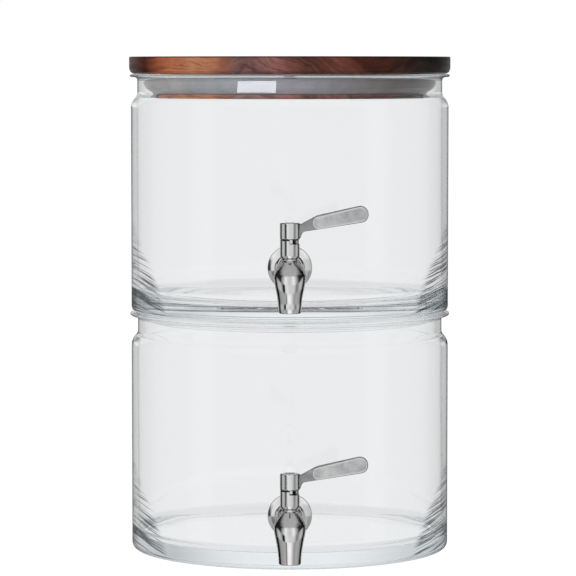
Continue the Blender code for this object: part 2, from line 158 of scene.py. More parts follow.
def between(start, end, part, whole=1.0):
    return tuple(a + (b - a) * part / whole for a, b in zip(start, end))


def divided(profile, longest):
    """The same outline with no straight run over longest.

    Long runs get a row close to each end, so a fillet's shading doesn't bleed into the flat.
    """
    guard = 0.25
    long_run = 1.6
    path = [profile[0]]
    for start, end in zip(profile, profile[1:]):
        run = math.hypot(end[0] - start[0], end[1] - start[1])
        pieces = max(1, int(math.ceil(run / longest)))
        if run > long_run:
            path.append(between(start, end, guard / run))
            path += [between(start, end, k, pieces) for k in range(1, pieces)]
            path.append(between(end, start, guard / run))
            path.append(end)
        else:
            path += [between(start, end, k, pieces) for k in range(1, pieces + 1)]
    return path


def lathe(
    name, profile, steps=96, closed=False, origin=(0, 0, 0), outward=False, sharp=35.0, wave=None
):
    """A turned body from (radius, height) points.

    Height runs up, or towards the front with outward. wave(radius, height, turn) may give a new
    radius and height.
    """
    verts, rings = [], []
    for radius, height in profile:
        if radius < 1e-6:
            rings.append([len(verts)])
            verts.append((0.0, 0.0, height))
            continue
        rings.append(list(range(len(verts), len(verts) + steps)))
        for k in range(steps):
            turn = 2 * math.pi * k / steps
            r, h = wave(radius, height, turn) if wave else (radius, height)
            verts.append((r * math.cos(turn), r * math.sin(turn), h))
    pairs = list(zip(rings, rings[1:]))
    if closed:
        pairs.append((rings[-1], rings[0]))
    faces = []
    for ring, after in pairs:
        for k in range(steps):
            j = (k + 1) % steps
            if len(ring) == 1:
                faces.append((ring[0], after[k], after[j]))
            elif len(after) == 1:
                faces.append((after[0], ring[j], ring[k]))
            else:
                faces.append((ring[k], ring[j], after[j], after[k]))
    left, front, base = origin
    if outward:
        verts = [(x + left, -z + front, y + base) for x, y, z in verts]
    else:
        verts = [(x + left, y + front, z + base) for x, y, z in verts]
    return finish_mesh(name, verts, faces, sharp)


def turned_ring(name, corners, steps, longest=None, arc_step=9.0, **settings):
    """A turned body whose closed outline doesn't touch the axis."""
    outline = rounded(corners, closed=True, step=arc_step)
    if longest is not None:
        outline = divided(outline, longest)
    return lathe(name, outline, steps, closed=True, **settings)


def prism(name, outline, low, high, place=lambda u, v, along: (u, v, along)):
    """A flat outline (u, v) swept from low to high; place gives x, y, z and is upright if left."""
    count = len(outline)
    verts = [place(u, v, low) for u, v in outline] + [place(u, v, high) for u, v in outline]
    faces = [tuple(range(count)), tuple(range(2 * count - 1, count - 1, -1))]
    for k in range(count):
        j = (k + 1) % count
        faces.append((k, j, j + count, k + count))
    return finish_mesh(name, verts, faces)


def circle(radius, sides, turn=0.0):
    angles = [2 * math.pi * k / sides + turn for k in range(sides)]
    return [(radius * math.cos(angle), radius * math.sin(angle)) for angle in angles]


def square(half, fillet=0.0):
    signs = ((1, 1), (-1, 1), (-1, -1), (1, -1))
    return rounded([(half * u, half * v, fillet) for u, v in signs], closed=True, step=30.0)


def cut(obj, *tools, operation="DIFFERENCE", sharp=35.0):
    """Cuts obj with the tools, applies the result and removes the tools."""
    for tool in tools:
        step = obj.modifiers.new("cut", "BOOLEAN")
        step.operation = operation
        step.solver = "EXACT"
        step.object = tool
    bpy.context.view_layer.update()
    graph = bpy.context.evaluated_depsgraph_get()
    mesh = bpy.data.meshes.new_from_object(obj.evaluated_get(graph), depsgraph=graph)
    obj.modifiers.clear()
    old = obj.data
    obj.data = mesh
    bpy.data.meshes.remove(old)
    for tool in tools:
        data = tool.data
        bpy.data.objects.remove(tool, do_unlink=True)
        bpy.data.meshes.remove(data)
    work = bmesh.new()
    work.from_mesh(mesh)
    bmesh.ops.remove_doubles(work, verts=work.verts, dist=2e-7)
    bmesh.ops.dissolve_degenerate(work, edges=work.edges, dist=1e-7)
    work.to_mesh(mesh)
    work.free()
    shade(mesh, sharp)
    return obj


# ------------------------------------------------------------ solids from distance fields
def soft_min(first, second, blend):
    """The union of two fields, rounded over the blend length."""
    share = np.clip(0.5 + 0.5 * (second - first) / blend, 0.0, 1.0)
    return second * (1 - share) + first * share - blend * share * (1 - share)


def soft_max(first, second, blend):
    """The overlap of two fields, rounded over the blend length."""
    return -soft_min(-first, -second, blend)


def smooth_table(stations, column):
    """A monotone cubic through one column of the stations: sorted places and values."""
    fine = 0.1
    points = sorted((station[0], station[column]) for station in stations)
    places = np.array([point[0] for point in points], float)
    values = np.array([point[1] for point in points], float)
    span = np.diff(places)
    slope = np.diff(values) / span
    tangent = np.zeros(len(places))
    for i in range(1, len(places) - 1):
        if slope[i - 1] * slope[i] > 0:
            weight_before = 2 * span[i] + span[i - 1]
            weight_after = span[i] + 2 * span[i - 1]
            harmonic = weight_before / slope[i - 1] + weight_after / slope[i]
            tangent[i] = (weight_before + weight_after) / harmonic
    tangent[0], tangent[-1] = slope[0], slope[-1]
    query = np.arange(places[0], places[-1] + fine / 2, fine)
    i = np.clip(np.searchsorted(places, query, side="right") - 1, 0, len(places) - 2)
    t = np.clip((query - places[i]) / span[i], 0, 1)
    curve = (
        (2 * t**3 - 3 * t**2 + 1) * values[i]
        + (t**3 - 2 * t**2 + t) * span[i] * tangent[i]
        + (-2 * t**3 + 3 * t**2) * values[i + 1]
        + (t**3 - t**2) * span[i] * tangent[i + 1]
    )
    return query, curve


def outline_distance(u, v, outline):
    """Signed distance to a closed outline, negative inside."""
    nearest = np.full(u.shape, 1e9)
    sign = np.ones(u.shape)
    for i, (start_u, start_v) in enumerate(outline):
        end_u, end_v = outline[i - 1]
        edge_u, edge_v = end_u - start_u, end_v - start_v
        from_u, from_v = u - start_u, v - start_v
        along = (from_u * edge_u + from_v * edge_v) / (edge_u * edge_u + edge_v * edge_v)
        along = np.clip(along, 0.0, 1.0)
        off_u, off_v = from_u - edge_u * along, from_v - edge_v * along
        nearest = np.minimum(nearest, off_u * off_u + off_v * off_v)
        above_start = v >= start_v
        below_end = v < end_v
        left = edge_u * from_v > edge_v * from_u
        crosses = (above_start & below_end & left) | (~above_start & ~below_end & ~left)
        sign = np.where(crosses, -sign, sign)
    return sign * np.sqrt(nearest)


def surface(name, field, low, high, step):
    """The zero surface of a distance field, as an even quad mesh drawn onto the surface."""
    axes = [np.arange(start - step, end + 2 * step, step) for start, end in zip(low, high)]
    value = field(*np.meshgrid(*axes, indexing="ij"))
    inside = value < 0
    corners = list(itertools.product((0, 1), repeat=3))
    cells = [count - 1 for count in value.shape]

    def at_corner(grid, corner):
        return grid[tuple(slice(c, c + count) for c, count in zip(corner, cells))]

    count = sum(at_corner(inside, corner).astype(np.int8) for corner in corners)
    active = (count > 0) & (count < 8)
    cell = np.nonzero(active)
    # one point per cell: the mean of where the surface crosses the cell's edges
    total = np.zeros((len(cell[0]), 3))
    hits = np.zeros(len(cell[0]))
    for first, second in itertools.combinations(corners, 2):
        if sum(abs(p - q) for p, q in zip(first, second)) != 1:
            continue
        value_first = value[tuple(c + s for c, s in zip(cell, first))]
        value_second = value[tuple(c + s for c, s in zip(cell, second))]
        cross = (value_first < 0) != (value_second < 0)
        t = np.where(cross, value_first / np.where(cross, value_first - value_second, 1.0), 0.0)
        for axis in range(3):
            crossing = first[axis] + (second[axis] - first[axis]) * t
            total[:, axis] += np.where(cross, crossing, 0.0)
        hits += cross
    points = total / hits[:, None]
    points = (points + np.stack(cell, 1)) * step + np.array([places[0] for places in axes])

    # one quad round every grid edge that the surface crosses
    index = np.full(active.shape, -1, np.int64)
    index[cell] = np.arange(len(cell[0]))
    faces = []
    for axis in range(3):
        near = [slice(None)] * 3
        far = [slice(None)] * 3
        near[axis], far[axis] = slice(0, -1), slice(1, None)
        near_inside = inside[tuple(near)]
        edge = np.nonzero(near_inside != inside[tuple(far)])
        leaving = near_inside[edge]
        others = [other for other in range(3) if other != axis]
        valid = np.ones(len(leaving), bool)
        for other in others:
            valid &= (edge[other] > 0) & (edge[other] < active.shape[other])
        edge = [places[valid] for places in edge]
        leaving = leaving[valid]
        quad = []
        for shifts in ((-1, -1), (0, -1), (0, 0), (-1, 0)):
            place = list(edge)
            for other, shift in zip(others, shifts):
                place[other] = edge[other] + shift
            quad.append(index[tuple(place)])
        quad = np.stack(quad, 1)
        keep = leaving if axis != 1 else ~leaving
        quad[~keep] = quad[~keep][:, ::-1]
        faces.append(quad)
    faces = np.concatenate(faces)
    faces = faces[(faces >= 0).all(1)]

    # pull the points onto the surface along the field's gradient
    nudge = 0.02
    for _ in range(5):
        off = field(*points.T)
        gradient = np.stack(
            [field(*(points + side).T) - field(*(points - side).T) for side in nudge * np.eye(3)],
            1,
        ) / (2 * nudge)
        steepness = np.maximum((gradient * gradient).sum(1), 1e-3)
        move = -(off / steepness)[:, None] * gradient
        length = np.linalg.norm(move, axis=1)
        move *= np.minimum(1.0, 0.6 * step / np.maximum(length, 1e-9))[:, None]
        points = points + move

    mesh = bpy.data.meshes.new(name)
    mesh.from_pydata((points * MM).tolist(), [], faces.tolist())
    work = bmesh.new()
    work.from_mesh(mesh)
    bmesh.ops.recalc_face_normals(work, faces=work.faces)
    work.to_mesh(mesh)
    work.free()
    shade(mesh, sharp=None)
    return link_object(name, mesh)


# ------------------------------------------------------------ shader helpers
class ShaderTree:
    """Short names for building a shader tree on a material, world or light.

    over=(low, high) is the range a value is read over, and to=(low, high) the range given back.
    """

    def __init__(self, owner, output):
        owner.use_nodes = True
        self.tree = owner.node_tree
        self.tree.nodes.clear()
        self.out = self.node(output)

    def set(self, socket, value):
        if isinstance(value, bpy.types.NodeSocket):
            self.tree.links.new(value, socket)
        elif isinstance(value, (tuple, list)) and len(value) == 3 and socket.type == "RGBA":
            socket.default_value = (*value, 1.0)
        else:
            socket.default_value = value

    def node(self, kind, *values, **settings):
        """A node with its first inputs set in order."""
        node = self.tree.nodes.new("ShaderNode" + kind)
        for key, value in settings.items():
            setattr(node, key, value)
        for socket, value in zip(node.inputs, values):
            self.set(socket, value)
        return node

    def named(self, kind, **values):
        """The first output of a node with its inputs set by name."""
        node = self.node(kind)
        for key, value in values.items():
            self.set(node.inputs[key.replace("_", " ")], value)
        return node.outputs[0]

    def finish(self, shader):
        self.set(self.out.inputs["Surface"], shader)

    def math(self, operation, first, second=0.0, third=0.0):
        return self.node("Math", first, second, third, operation=operation).outputs[0]

    def add(self, first, second):
        return self.math("ADD", first, second)

    def minus(self, first, second):
        return self.math("SUBTRACT", first, second)

    def times(self, first, second):
        return self.math("MULTIPLY", first, second)

    def radius(self, x, y):
        return self.math("SQRT", self.add(self.times(x, x), self.times(y, y)))

    def smooth(self, value, over, to=(0.0, 1.0)):
        node = self.node("MapRange", value, *over, *to, interpolation_type="SMOOTHSTEP")
        return node.outputs[0]

    def linear(self, value, over, to=(0.0, 1.0)):
        return self.node("MapRange", value, *over, *to).outputs[0]

    def blend(self, factor, first, second):
        """A plain number between two others."""
        return self.linear(factor, over=(0.0, 1.0), to=(first, second))

    def place(self):
        return self.node("TexCoord").outputs["Object"]

    def xyz(self, vector):
        return self.node("SeparateXYZ", vector).outputs

    def vector(self, x, y, z):
        return self.node("CombineXYZ", x, y, z).outputs[0]

    def stretched(self, parts, by, shift=None):
        """A vector of the parts, each multiplied, with shift added to the last."""
        first, second, third = (self.times(part, factor) for part, factor in zip(parts, by))
        return self.vector(first, second, third if shift is None else self.add(third, shift))

    def ramp(self, value, stops, interpolation="LINEAR"):
        """Colours or grey values at positions from 0 to 1."""
        node = self.node("ValToRGB")
        node.color_ramp.interpolation = interpolation
        elements = node.color_ramp.elements
        while len(elements) > 1:
            elements.remove(elements[-1])
        for i, (position, colour) in enumerate(stops):
            element = elements[0] if i == 0 else elements.new(position)
            element.position = position
            colour = colour if isinstance(colour, tuple) else (colour,) * 3
            element.color = (*colour, 1.0)
        self.set(node.inputs[0], value)
        return node.outputs[0]

    def mix(self, factor, start, end, blend="MIX"):
        """The start colour at factor 0, the end colour at 1."""
        node = self.node("Mix", factor, data_type="RGBA", blend_type=blend)
        # the colour sockets follow those for plain numbers and vectors
        self.set(node.inputs[6], start)
        self.set(node.inputs[7], end)
        return node.outputs[2]

    def tinted(self, colour, tint):
        return self.mix(1.0, colour, tint, blend="MULTIPLY")

    def mix_shader(self, factor, first, second):
        return self.node("MixShader", factor, first, second).outputs[0]

    def noise(self, vector, scale=1.0, detail=2.0, rough=0.5):
        values = {"Scale": scale, "Detail": detail, "Roughness": rough}
        return self.named("TexNoise", Vector=vector, **values)

    def bump(self, height, strength, distance):
        return self.named("Bump", Strength=strength, Distance=distance, Height=height)

    def facing(self):
        """0 where a face is met head on, 1 where it is met edge on."""
        return self.node("LayerWeight", 0.5).outputs["Facing"]

    def ray(self, kind):
        return self.node("LightPath").outputs[kind]

    def attribute(self, name):
        return self.node("Attribute", attribute_name=name).outputs["Fac"]

    def principled(self, **values):
        return self.named("BsdfPrincipled", **values)


def new_material(name):
    material = bpy.data.materials.new(name)
    return material, ShaderTree(material, "OutputMaterial")


def placed(stops, low, high):
    """Stops placed between low and high, as ramp stops from 0 to 1."""
    return [((at - low) / (high - low), value) for at, value in stops]


ACROSS = (-130.0, 130.0)  # the x range of ramps that run from left to right, mm
ACROSS_M = (-0.13, 0.13)


# ------------------------------------------------------------ materials
# How far in from its outline the wall gets painted dark streaks, in metres, by height in mm up to
# the top of that band
STREAK_TOP = 100.0
STREAK_REACH = [
    (0.0, 0.029), (8.0, 0.0275), (20.0, 0.023), (36.0, 0.0175),
    (52.0, 0.0095), (70.0, 0.0030), (82.0, 0.0), (100.0, 0.0),
]


def glass_material(name, base):
    """Clear glass: painted shade darkens its rim where seen edge on, and painted dark streaks run
    round the foot of the wall.
    """
    material, tree = new_material(name)
    x, y, z = tree.xyz(tree.place())
    height = tree.minus(z, base * MM)
    facing = tree.facing()
    lean = tree.xyz(tree.node("NewGeometry").outputs["Normal"])[2]
    standing = tree.smooth(tree.math("ABSOLUTE", lean), over=(0.75, 0.45))
    wall = tree.times(tree.smooth(tree.radius(x, y), over=(0.116, 0.120)), standing)
    # painted shade: the standing wall's colour is darkened where it is seen edge on
    edge_on_shade = tree.smooth(facing, over=(0.81, 0.93), to=(0.0, 0.85))
    above_foot = tree.smooth(height, over=(0.016, 0.030))
    rim = tree.times(edge_on_shade, tree.times(wall, above_foot))

    # how far in from its outline a standing wall is being seen, in metres
    head_on = tree.minus(1.0, facing)
    sine_squared = tree.minus(1.0, tree.times(head_on, head_on))
    sine = tree.math("SQRT", tree.math("MAXIMUM", sine_squared, 0.0))
    inward = tree.times(tree.minus(1.0, sine), JAR_R * MM)

    # painted dark streaks over a faint painted shade, seen only by the camera: where a noise,
    # drawn out level and lifted inwards, passes its middle value
    inward_lift, drift_size, middle, faint = 0.40, 0.014, 0.5, 0.04
    drift = tree.noise(tree.stretched((x, y, height), by=(9.0, 9.0, 12.0)))
    level = tree.add(height, tree.times(inward, inward_lift))
    level = tree.add(level, tree.times(drift, drift_size))
    painted_streaks = tree.stretched((level, x, y), by=(330.0, 5.0, 5.0))
    painted_streaks = tree.noise(painted_streaks, detail=2.5, rough=0.6)
    off_middle = tree.math("ABSOLUTE", tree.minus(painted_streaks, middle))
    painted_streaks = tree.smooth(off_middle, over=(0.016, 0.080), to=(1.0, 0.0))
    up_wall = tree.linear(height, over=(0.0, STREAK_TOP * MM))
    reach = tree.ramp(up_wall, placed(STREAK_REACH, 0.0, STREAK_TOP))
    within = tree.smooth(tree.minus(reach, inward), over=(-0.0015, 0.0045))
    low_down = tree.smooth(height, over=(0.095, 0.070))
    within = tree.times(tree.times(within, wall), low_down)
    painted_streaks = tree.times(within, tree.add(faint, tree.times(painted_streaks, 1.0 - faint)))
    painted_streaks = tree.times(painted_streaks, tree.ray("Is Camera Ray"))

    shadow = tree.math("MAXIMUM", rim, painted_streaks)
    drawn = tree.noise(tree.stretched((x, y, z), by=(14.0, 14.0, 3.0)))
    body = tree.principled(
        Base_Color=tree.mix(shadow, start=(1.0, 1.0, 1.0), end=(0.035, 0.04, 0.045)),
        Roughness=0.0,
        IOR=1.5,
        Transmission_Weight=1.0,
        Normal=tree.bump(drawn, strength=0.10, distance=0.0015),
    )
    plain = tree.named("BsdfTransparent", Color=(0.93, 0.95, 0.955))
    tree.finish(tree.mix_shader(tree.ray("Is Shadow Ray"), body, plain))
    tint = tree.named("VolumeAbsorption", Color=(0.86, 0.935, 0.965), Density=2.4)
    tree.set(tree.out.inputs["Volume"], tint)
    return material


# Left edge of each stave, mm, and its place in the noise before STAVE_SPREAD
STAVES = [(-130.0, 0.13), (-43.0, 0.42), (88.0, 0.93)]
STAVE_SPREAD = 9.0
# Slant of the growth rings (rise per run) by x, mm
RING_SLANT = [(-130, 0.06), (-48, 0.10), (-34, 0.50), (60, 0.72), (100, 0.30)]
# Wood colour by x, mm: the staves' own tones, with painted shade darkening the far left end
WOOD_TONES_AND_SHADE = [
    (-130, (0.100, 0.032, 0.026)), (-119, (0.070, 0.020, 0.014)), (-113, (0.050, 0.012, 0.006)),
    (-106, (0.210, 0.055, 0.021)), (-98, (0.350, 0.100, 0.046)), (-87, (0.375, 0.130, 0.062)),
    (-75, (0.425, 0.178, 0.088)), (-62, (0.435, 0.178, 0.094)), (-52, (0.280, 0.098, 0.058)),
    (-45, (0.220, 0.098, 0.074)), (-42, (0.245, 0.126, 0.112)), (-22, (0.262, 0.122, 0.112)),
    (-10, (0.300, 0.125, 0.106)), (2, (0.225, 0.082, 0.062)), (13, (0.135, 0.052, 0.038)),
    (24, (0.180, 0.057, 0.037)), (35, (0.235, 0.080, 0.056)), (47, (0.170, 0.052, 0.034)),
    (60, (0.128, 0.035, 0.022)), (72, (0.110, 0.030, 0.018)), (84, (0.105, 0.040, 0.027)),
    (93, (0.070, 0.034, 0.023)), (104, (0.048, 0.034, 0.027)), (120, (0.060, 0.050, 0.048)),
]


def wood_material(name, lift=None, top=None):
    """Acacia staves that run front to back, glued side by side.

    lift brightens the wood; top is the height, in metres, of a board whose rounded upper and lower
    edges get painted shade.
    """
    material, tree = new_material(name)
    x, y, z = tree.xyz(tree.place())
    across = tree.linear(x, over=ACROSS_M)
    stave = tree.ramp(across, placed(STAVES, *ACROSS), "CONSTANT")
    shift = tree.times(stave, STAVE_SPREAD)

    # growth rings: height, slanted and warped
    warp_centre, warp_size = 0.5, 0.022
    slant = tree.ramp(across, placed(RING_SLANT, *ACROSS))
    warp = tree.stretched((x, y, z), by=(26.0, 6.0, 42.0), shift=shift)
    warp = tree.minus(tree.noise(warp, detail=3.0, rough=0.6), warp_centre)
    ring = tree.add(tree.add(z, tree.times(x, slant)), tree.times(warp, warp_size))

    def ring_noise(other, by, detail, rough):
        where = tree.vector(tree.times(ring, by[0]), tree.times(other, by[1]), shift)
        return tree.noise(where, detail=detail, rough=rough)

    broad = ring_noise(y, by=(110.0, 2.0), detail=2.0, rough=0.6)
    mid = ring_noise(x, by=(480.0, 30.0), detail=3.0, rough=0.62)
    fine = ring_noise(x, by=(1700.0, 110.0), detail=3.0, rough=0.65)
    blotch = tree.stretched((x, y, z), by=(75.0, 22.0, 90.0), shift=shift)
    blotch = tree.noise(blotch, detail=3.0, rough=0.65)
    pores = tree.noise(tree.stretched((x, y, z), by=(1300.0, 60.0, 1900.0)), detail=1.0)

    # stave tones by x, with painted shade at the far left end
    body = tree.ramp(across, placed(WOOD_TONES_AND_SHADE, *ACROSS))
    light = tree.tinted(body, tint=(1.50, 1.46, 1.42))
    dark = tree.tinted(body, tint=(0.42, 0.38, 0.40))
    broad_share, mid_share, blotch_share = 0.50, 0.28, 0.22
    tone = tree.add(tree.times(broad, broad_share), tree.times(mid, mid_share))
    tone = tree.add(tone, tree.times(blotch, blotch_share))
    colour = tree.mix(tree.smooth(tone, over=(0.36, 0.62)), dark, light)
    colour = tree.mix(tree.smooth(fine, over=(0.42, 0.78), to=(0.0, 0.5)), colour, dark)
    pore_dark = tree.smooth(pores, over=(0.64, 0.78), to=(0.0, 0.6))
    colour = tree.mix(pore_dark, colour, end=(0.022, 0.009, 0.006))

    seam_half, seam_strength = 0.00016, 0.30
    seams = [tree.math("COMPARE", x, edge * MM, seam_half) for edge, _ in STAVES[1:]]
    seams = tree.times(tree.math("MAXIMUM", *seams), seam_strength)
    colour = tree.mix(seams, colour, end=(0.02, 0.01, 0.007))

    if top is not None:
        # painted shade along the board's rounded upper and lower edges
        edge_shade_strength = 0.62
        rim = tree.smooth(tree.radius(x, y), over=((LID_R - 1.7) * MM, (LID_R - 0.6) * MM))
        upper_edge = tree.smooth(z, over=(top - 0.0018, top - 0.0006))
        lower_edge = tree.smooth(z, over=(top - 0.0107, top - 0.0128))
        painted_edge_shade = tree.times(rim, tree.math("MAXIMUM", upper_edge, lower_edge))
        painted_edge_shade = tree.times(painted_edge_shade, edge_shade_strength)
        colour = tree.mix(painted_edge_shade, colour, end=(0.020, 0.009, 0.006))
    if lift is not None:
        colour = tree.tinted(colour, (lift, lift, lift))

    grain_height = 0.4
    pore_depth = tree.smooth(pores, over=(0.62, 0.80), to=(0.0, 0.6))
    height = tree.minus(tree.times(fine, grain_height), pore_depth)
    tree.finish(
        tree.principled(
            Base_Color=colour,
            Roughness=tree.linear(fine, over=(0.3, 0.8), to=(0.36, 0.55)),
            IOR=1.45,
            Specular_IOR_Level=0.22,
            Normal=tree.bump(height, strength=0.35, distance=0.00025),
        )
    )
    return material


def painted_dark_reflection(tree):
    """Painted dark reflection: how far a polished face turns from the eye, where its colour is
    darkened as if it mirrored the room's dark sides.
    """
    return tree.smooth(tree.facing(), over=(0.26, 0.60), to=(0.0, 0.78))


def steel_material(name):
    """Polished stainless: very fine polishing marks and slightly uneven gloss."""
    material, tree = new_material(name)
    where = tree.place()
    x, y, z = tree.xyz(where)
    smear = tree.noise(where, scale=240.0, detail=3.0, rough=0.6)
    marks = tree.noise(tree.stretched((x, y, z), by=(2600.0, 2600.0, 300.0)), rough=0.6)
    mean, shade_roughness = 0.5, 0.3
    rough = tree.times(tree.add(smear, marks), mean)
    rough = tree.linear(rough, over=(0.35, 0.68), to=(0.012, 0.05))
    tone = tree.linear(smear, over=(0.3, 0.7), to=(0.94, 1.03))
    steel = (0.86, 0.855, 0.845)
    colour = tree.tinted(steel, tree.vector(tone, tone, tone))
    shaded = tree.attribute("shade")
    colour = tree.mix(shaded, colour, end=(0.035, 0.035, 0.035))
    rough = tree.add(rough, tree.times(shaded, shade_roughness))
    # painted dark reflection where the face turns from the eye
    colour = tree.mix(painted_dark_reflection(tree), colour, end=(0.10, 0.10, 0.105))
    bump = tree.bump(marks, strength=0.05, distance=0.00004)
    tree.finish(tree.principled(Base_Color=colour, Metallic=1.0, Roughness=rough, Normal=bump))
    return material


def satin_material(name):
    """Cast lever: satin flats, polished along the step round the paddle's panel."""
    material, tree = new_material(name)
    where = tree.place()
    grain = tree.noise(where, scale=2600.0, rough=0.7)
    cloud = tree.noise(where, scale=160.0)
    step = tree.attribute("polish")
    hub = tree.attribute("hub")
    panel = tree.attribute("panel")
    shaded = tree.attribute("shade")
    half = 0.5
    mottle = tree.linear(cloud, over=(0.3, 0.7))
    rim = tree.mix(mottle, start=(0.27, 0.27, 0.275), end=(0.42, 0.42, 0.42))
    speckle = tree.add(tree.times(cloud, half), tree.times(grain, half))
    speckle = tree.linear(speckle, over=(0.36, 0.64))
    flat = tree.mix(speckle, start=(0.40, 0.40, 0.405), end=(0.70, 0.70, 0.70))
    colour = tree.mix(panel, rim, flat)
    colour = tree.mix(step, colour, end=(0.97, 0.97, 0.97))
    colour = tree.mix(hub, colour, end=(0.86, 0.86, 0.855))
    # painted dark reflection on the hub where it turns from the eye
    colour = tree.mix(tree.times(hub, painted_dark_reflection(tree)), colour, end=(0.10, 0.10, 0.105))
    colour = tree.mix(shaded, colour, end=(0.03, 0.03, 0.03))
    rough = tree.linear(grain, over=(0.3, 0.7), to=(0.26, 0.38))
    rough = tree.times(rough, tree.linear(hub, over=(0.0, 1.0), to=(1.0, 0.08)))
    bump = tree.bump(grain, strength=0.25, distance=0.00008)
    tree.finish(tree.principled(Base_Color=colour, Metallic=1.0, Roughness=rough, Normal=bump))
    return material


def silicone_material(name, colour, translucent, light_and_shade=None):
    """Translucent silicone: soft sheen, faint mottling and moulding dust.

    An optional table by x, in mm, paints light and shade into its colour.
    """
    material, tree = new_material(name)
    where = tree.place()
    cloud = tree.noise(where, scale=90.0, detail=3.0, rough=0.6)
    dust = tree.noise(where, scale=1600.0, detail=1.0)
    darker, lighter = 0.92, 1.06
    shown = tree.mix(
        tree.linear(cloud, over=(0.35, 0.65)),
        start=tuple(c * darker for c in colour),
        end=tuple(min(1.0, c * lighter) for c in colour),
    )
    # painted light and shade that vary the colour by x
    if light_and_shade is not None:
        across = tree.linear(tree.xyz(where)[0], over=ACROSS_M)
        shown = tree.tinted(shown, tree.ramp(across, placed(light_and_shade, *ACROSS)))
    body = tree.principled(
        Base_Color=shown,
        Roughness=tree.linear(dust, over=(0.3, 0.7), to=(0.30, 0.42)),
        IOR=1.41,
        Specular_IOR_Level=0.2,
        Normal=tree.bump(dust, strength=0.1, distance=0.00005),
    )
    through = tree.named("BsdfTranslucent", Color=shown)
    tree.finish(tree.mix_shader(translucent, body, through))
    return material


def rubber_material(name):
    """Dusty black rubber."""
    material, tree = new_material(name)
    dust = tree.noise(tree.place(), scale=900.0, rough=0.6)
    tree.finish(
        tree.principled(
            Base_Color=tree.mix(dust, start=(0.012, 0.012, 0.013), end=(0.04, 0.04, 0.042)),
            Roughness=tree.linear(dust, over=(0.3, 0.7), to=(0.45, 0.65)),
            Normal=tree.bump(dust, strength=0.2, distance=0.00005),
        )
    )
    return material


# Painted light and shade on the lid's gasket by x, mm: lighter on the left, darker towards the
# right
GASKET_LIGHT_AND_SHADE = [
    (-117, (0.55, 0.56, 0.50)), (-108, (0.60, 0.61, 0.54)), (-98, (0.78, 0.79, 0.70)),
    (-87, (1.00, 0.98, 0.93)), (-75, (0.83, 0.85, 0.83)), (-53, (0.92, 0.97, 0.97)),
    (-20, (1.00, 0.98, 1.00)), (0, (1.04, 0.98, 1.01)), (24, (0.87, 0.87, 0.89)),
    (46, (0.76, 0.71, 0.70)), (69, (0.56, 0.51, 0.47)), (84, (0.42, 0.38, 0.34)),
    (100, (0.31, 0.29, 0.27)), (117, (0.31, 0.30, 0.29)),
]
GLASS = {tier: glass_material("clear_glass_" + tier, BASES[tier]) for tier in TIERS}
MATERIALS = {
    "acacia_wood": wood_material("acacia_wood", top=(LID_Z + LID_T) * MM),
    "acacia_plug": wood_material("acacia_plug", lift=1.35),
    "polished_steel": steel_material("polished_steel"),
    "satin_steel": satin_material("satin_steel"),
    "grey_silicone": silicone_material(
        "grey_silicone", colour=(0.60, 0.59, 0.63), translucent=0.15, light_and_shade=GASKET_LIGHT_AND_SHADE
    ),
    "clear_silicone": silicone_material(
        "clear_silicone", colour=(0.80, 0.81, 0.82), translucent=0.35
    ),
    "black_rubber": rubber_material("black_rubber"),
}


def dress(obj, slot, body, node, material=None):
    """Gives a piece its material, the body it rides on and the frame node it replaces."""
    obj.data.materials.clear()
    obj.data.materials.append(material or MATERIALS[slot])
    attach(obj, body)
    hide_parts(node)


# ------------------------------------------------------------ jars
# Turned ring under the upper jar: radius, height, fillet
FOOT = [
    (112.4, 0.0), (111.0, -1.6, 1.0), (110.6, -8.4, 2.2), (100.0, -8.4, 1.8),
    (99.4, -1.2, 1.6), (97.0, -1.2), (0.0, -1.2),
]
# Underside of the lip, from its edge in to the shoulder: radius, height
UNDER_LIP = [
    (127.8, 188.3), (127.2, 187.9), (125.4, 187.65), (123.8, 187.45),
    (122.7, 186.9), (122.1, 186.1), (121.9, 185.1),
]
GLASS_INDEX = 1.5


def on_circle(x, z, radius, degrees):
    turn = math.radians(degrees)
    return x + radius * math.cos(turn), z + radius * math.sin(turn)


def arc(x, z, radius, start, end, steps):
    return [
        on_circle(x, z, radius, start + (end - start) * k / steps) for k in range(steps + 1)
    ]


def shoulder():
    """The outside of the shoulder: radius, height and lean in degrees, going up."""
    turns = [SHOULDER_TURN * k / 20 for k in range(21)]
    outer = [(*on_circle(JAR_R - 11.0, SHOULDER_Z, 11.0, turn), turn) for turn in turns]
    hollow = [(*on_circle(128.9, 175.95, -7.0, turn), turn) for turn in reversed(turns[:-1])]
    return outer + hollow


def shoulder_inside(outside):
    """The inside leans like the outside, a little lower, so the shoulder is no lens."""
    inside = [(INNER_R, SHOULDER_Z)]
    before = 0.0
    for radius, height, turn in outside[1:]:
        lean = math.radians(turn)
        bent = math.tan(lean - math.asin(math.sin(lean) / GLASS_INDEX))
        slope = math.tan(math.radians(0.5 * (turn + before)))
        last_radius, last_height = inside[-1]
        new_radius = last_radius
        for _ in range(12):
            new_height = height - (radius - new_radius) * bent
            new_radius = last_radius - slope * (new_height - last_height)
        inside.append((new_radius, new_height))
        before = turn
    return inside


def jar_outline(foot):
    """From the middle of the floor up the inside, over the lip and down the outside."""
    outside = shoulder()
    inside = shoulder_inside(outside)
    mouth = inside[-1][0]
    path = [(0.0, 12.2), (60.0, 12.1), (108.0, FLOOR_T)]
    path += arc(INNER_R - 9.0, FLOOR_T + 9.0, 9.0, -90, 0, 32)
    path += inside
    path.append((mouth, 187.2))
    path += arc(mouth + 1.8, 188.2, 1.8, 180, 90, 14)
    path += arc(126.9, 188.95, 1.05, 90, 0, 12)
    path += UNDER_LIP
    path += [(radius, height) for radius, height, _ in reversed(outside)]
    path += arc(JAR_R - 5.0, 5.0, 5.0, 0, -90, 30)
    path += rounded(FOOT, step=4.0) if foot else [(100.0, 0.0), (0.0, 0.0)]
    return divided(path, 4.0)


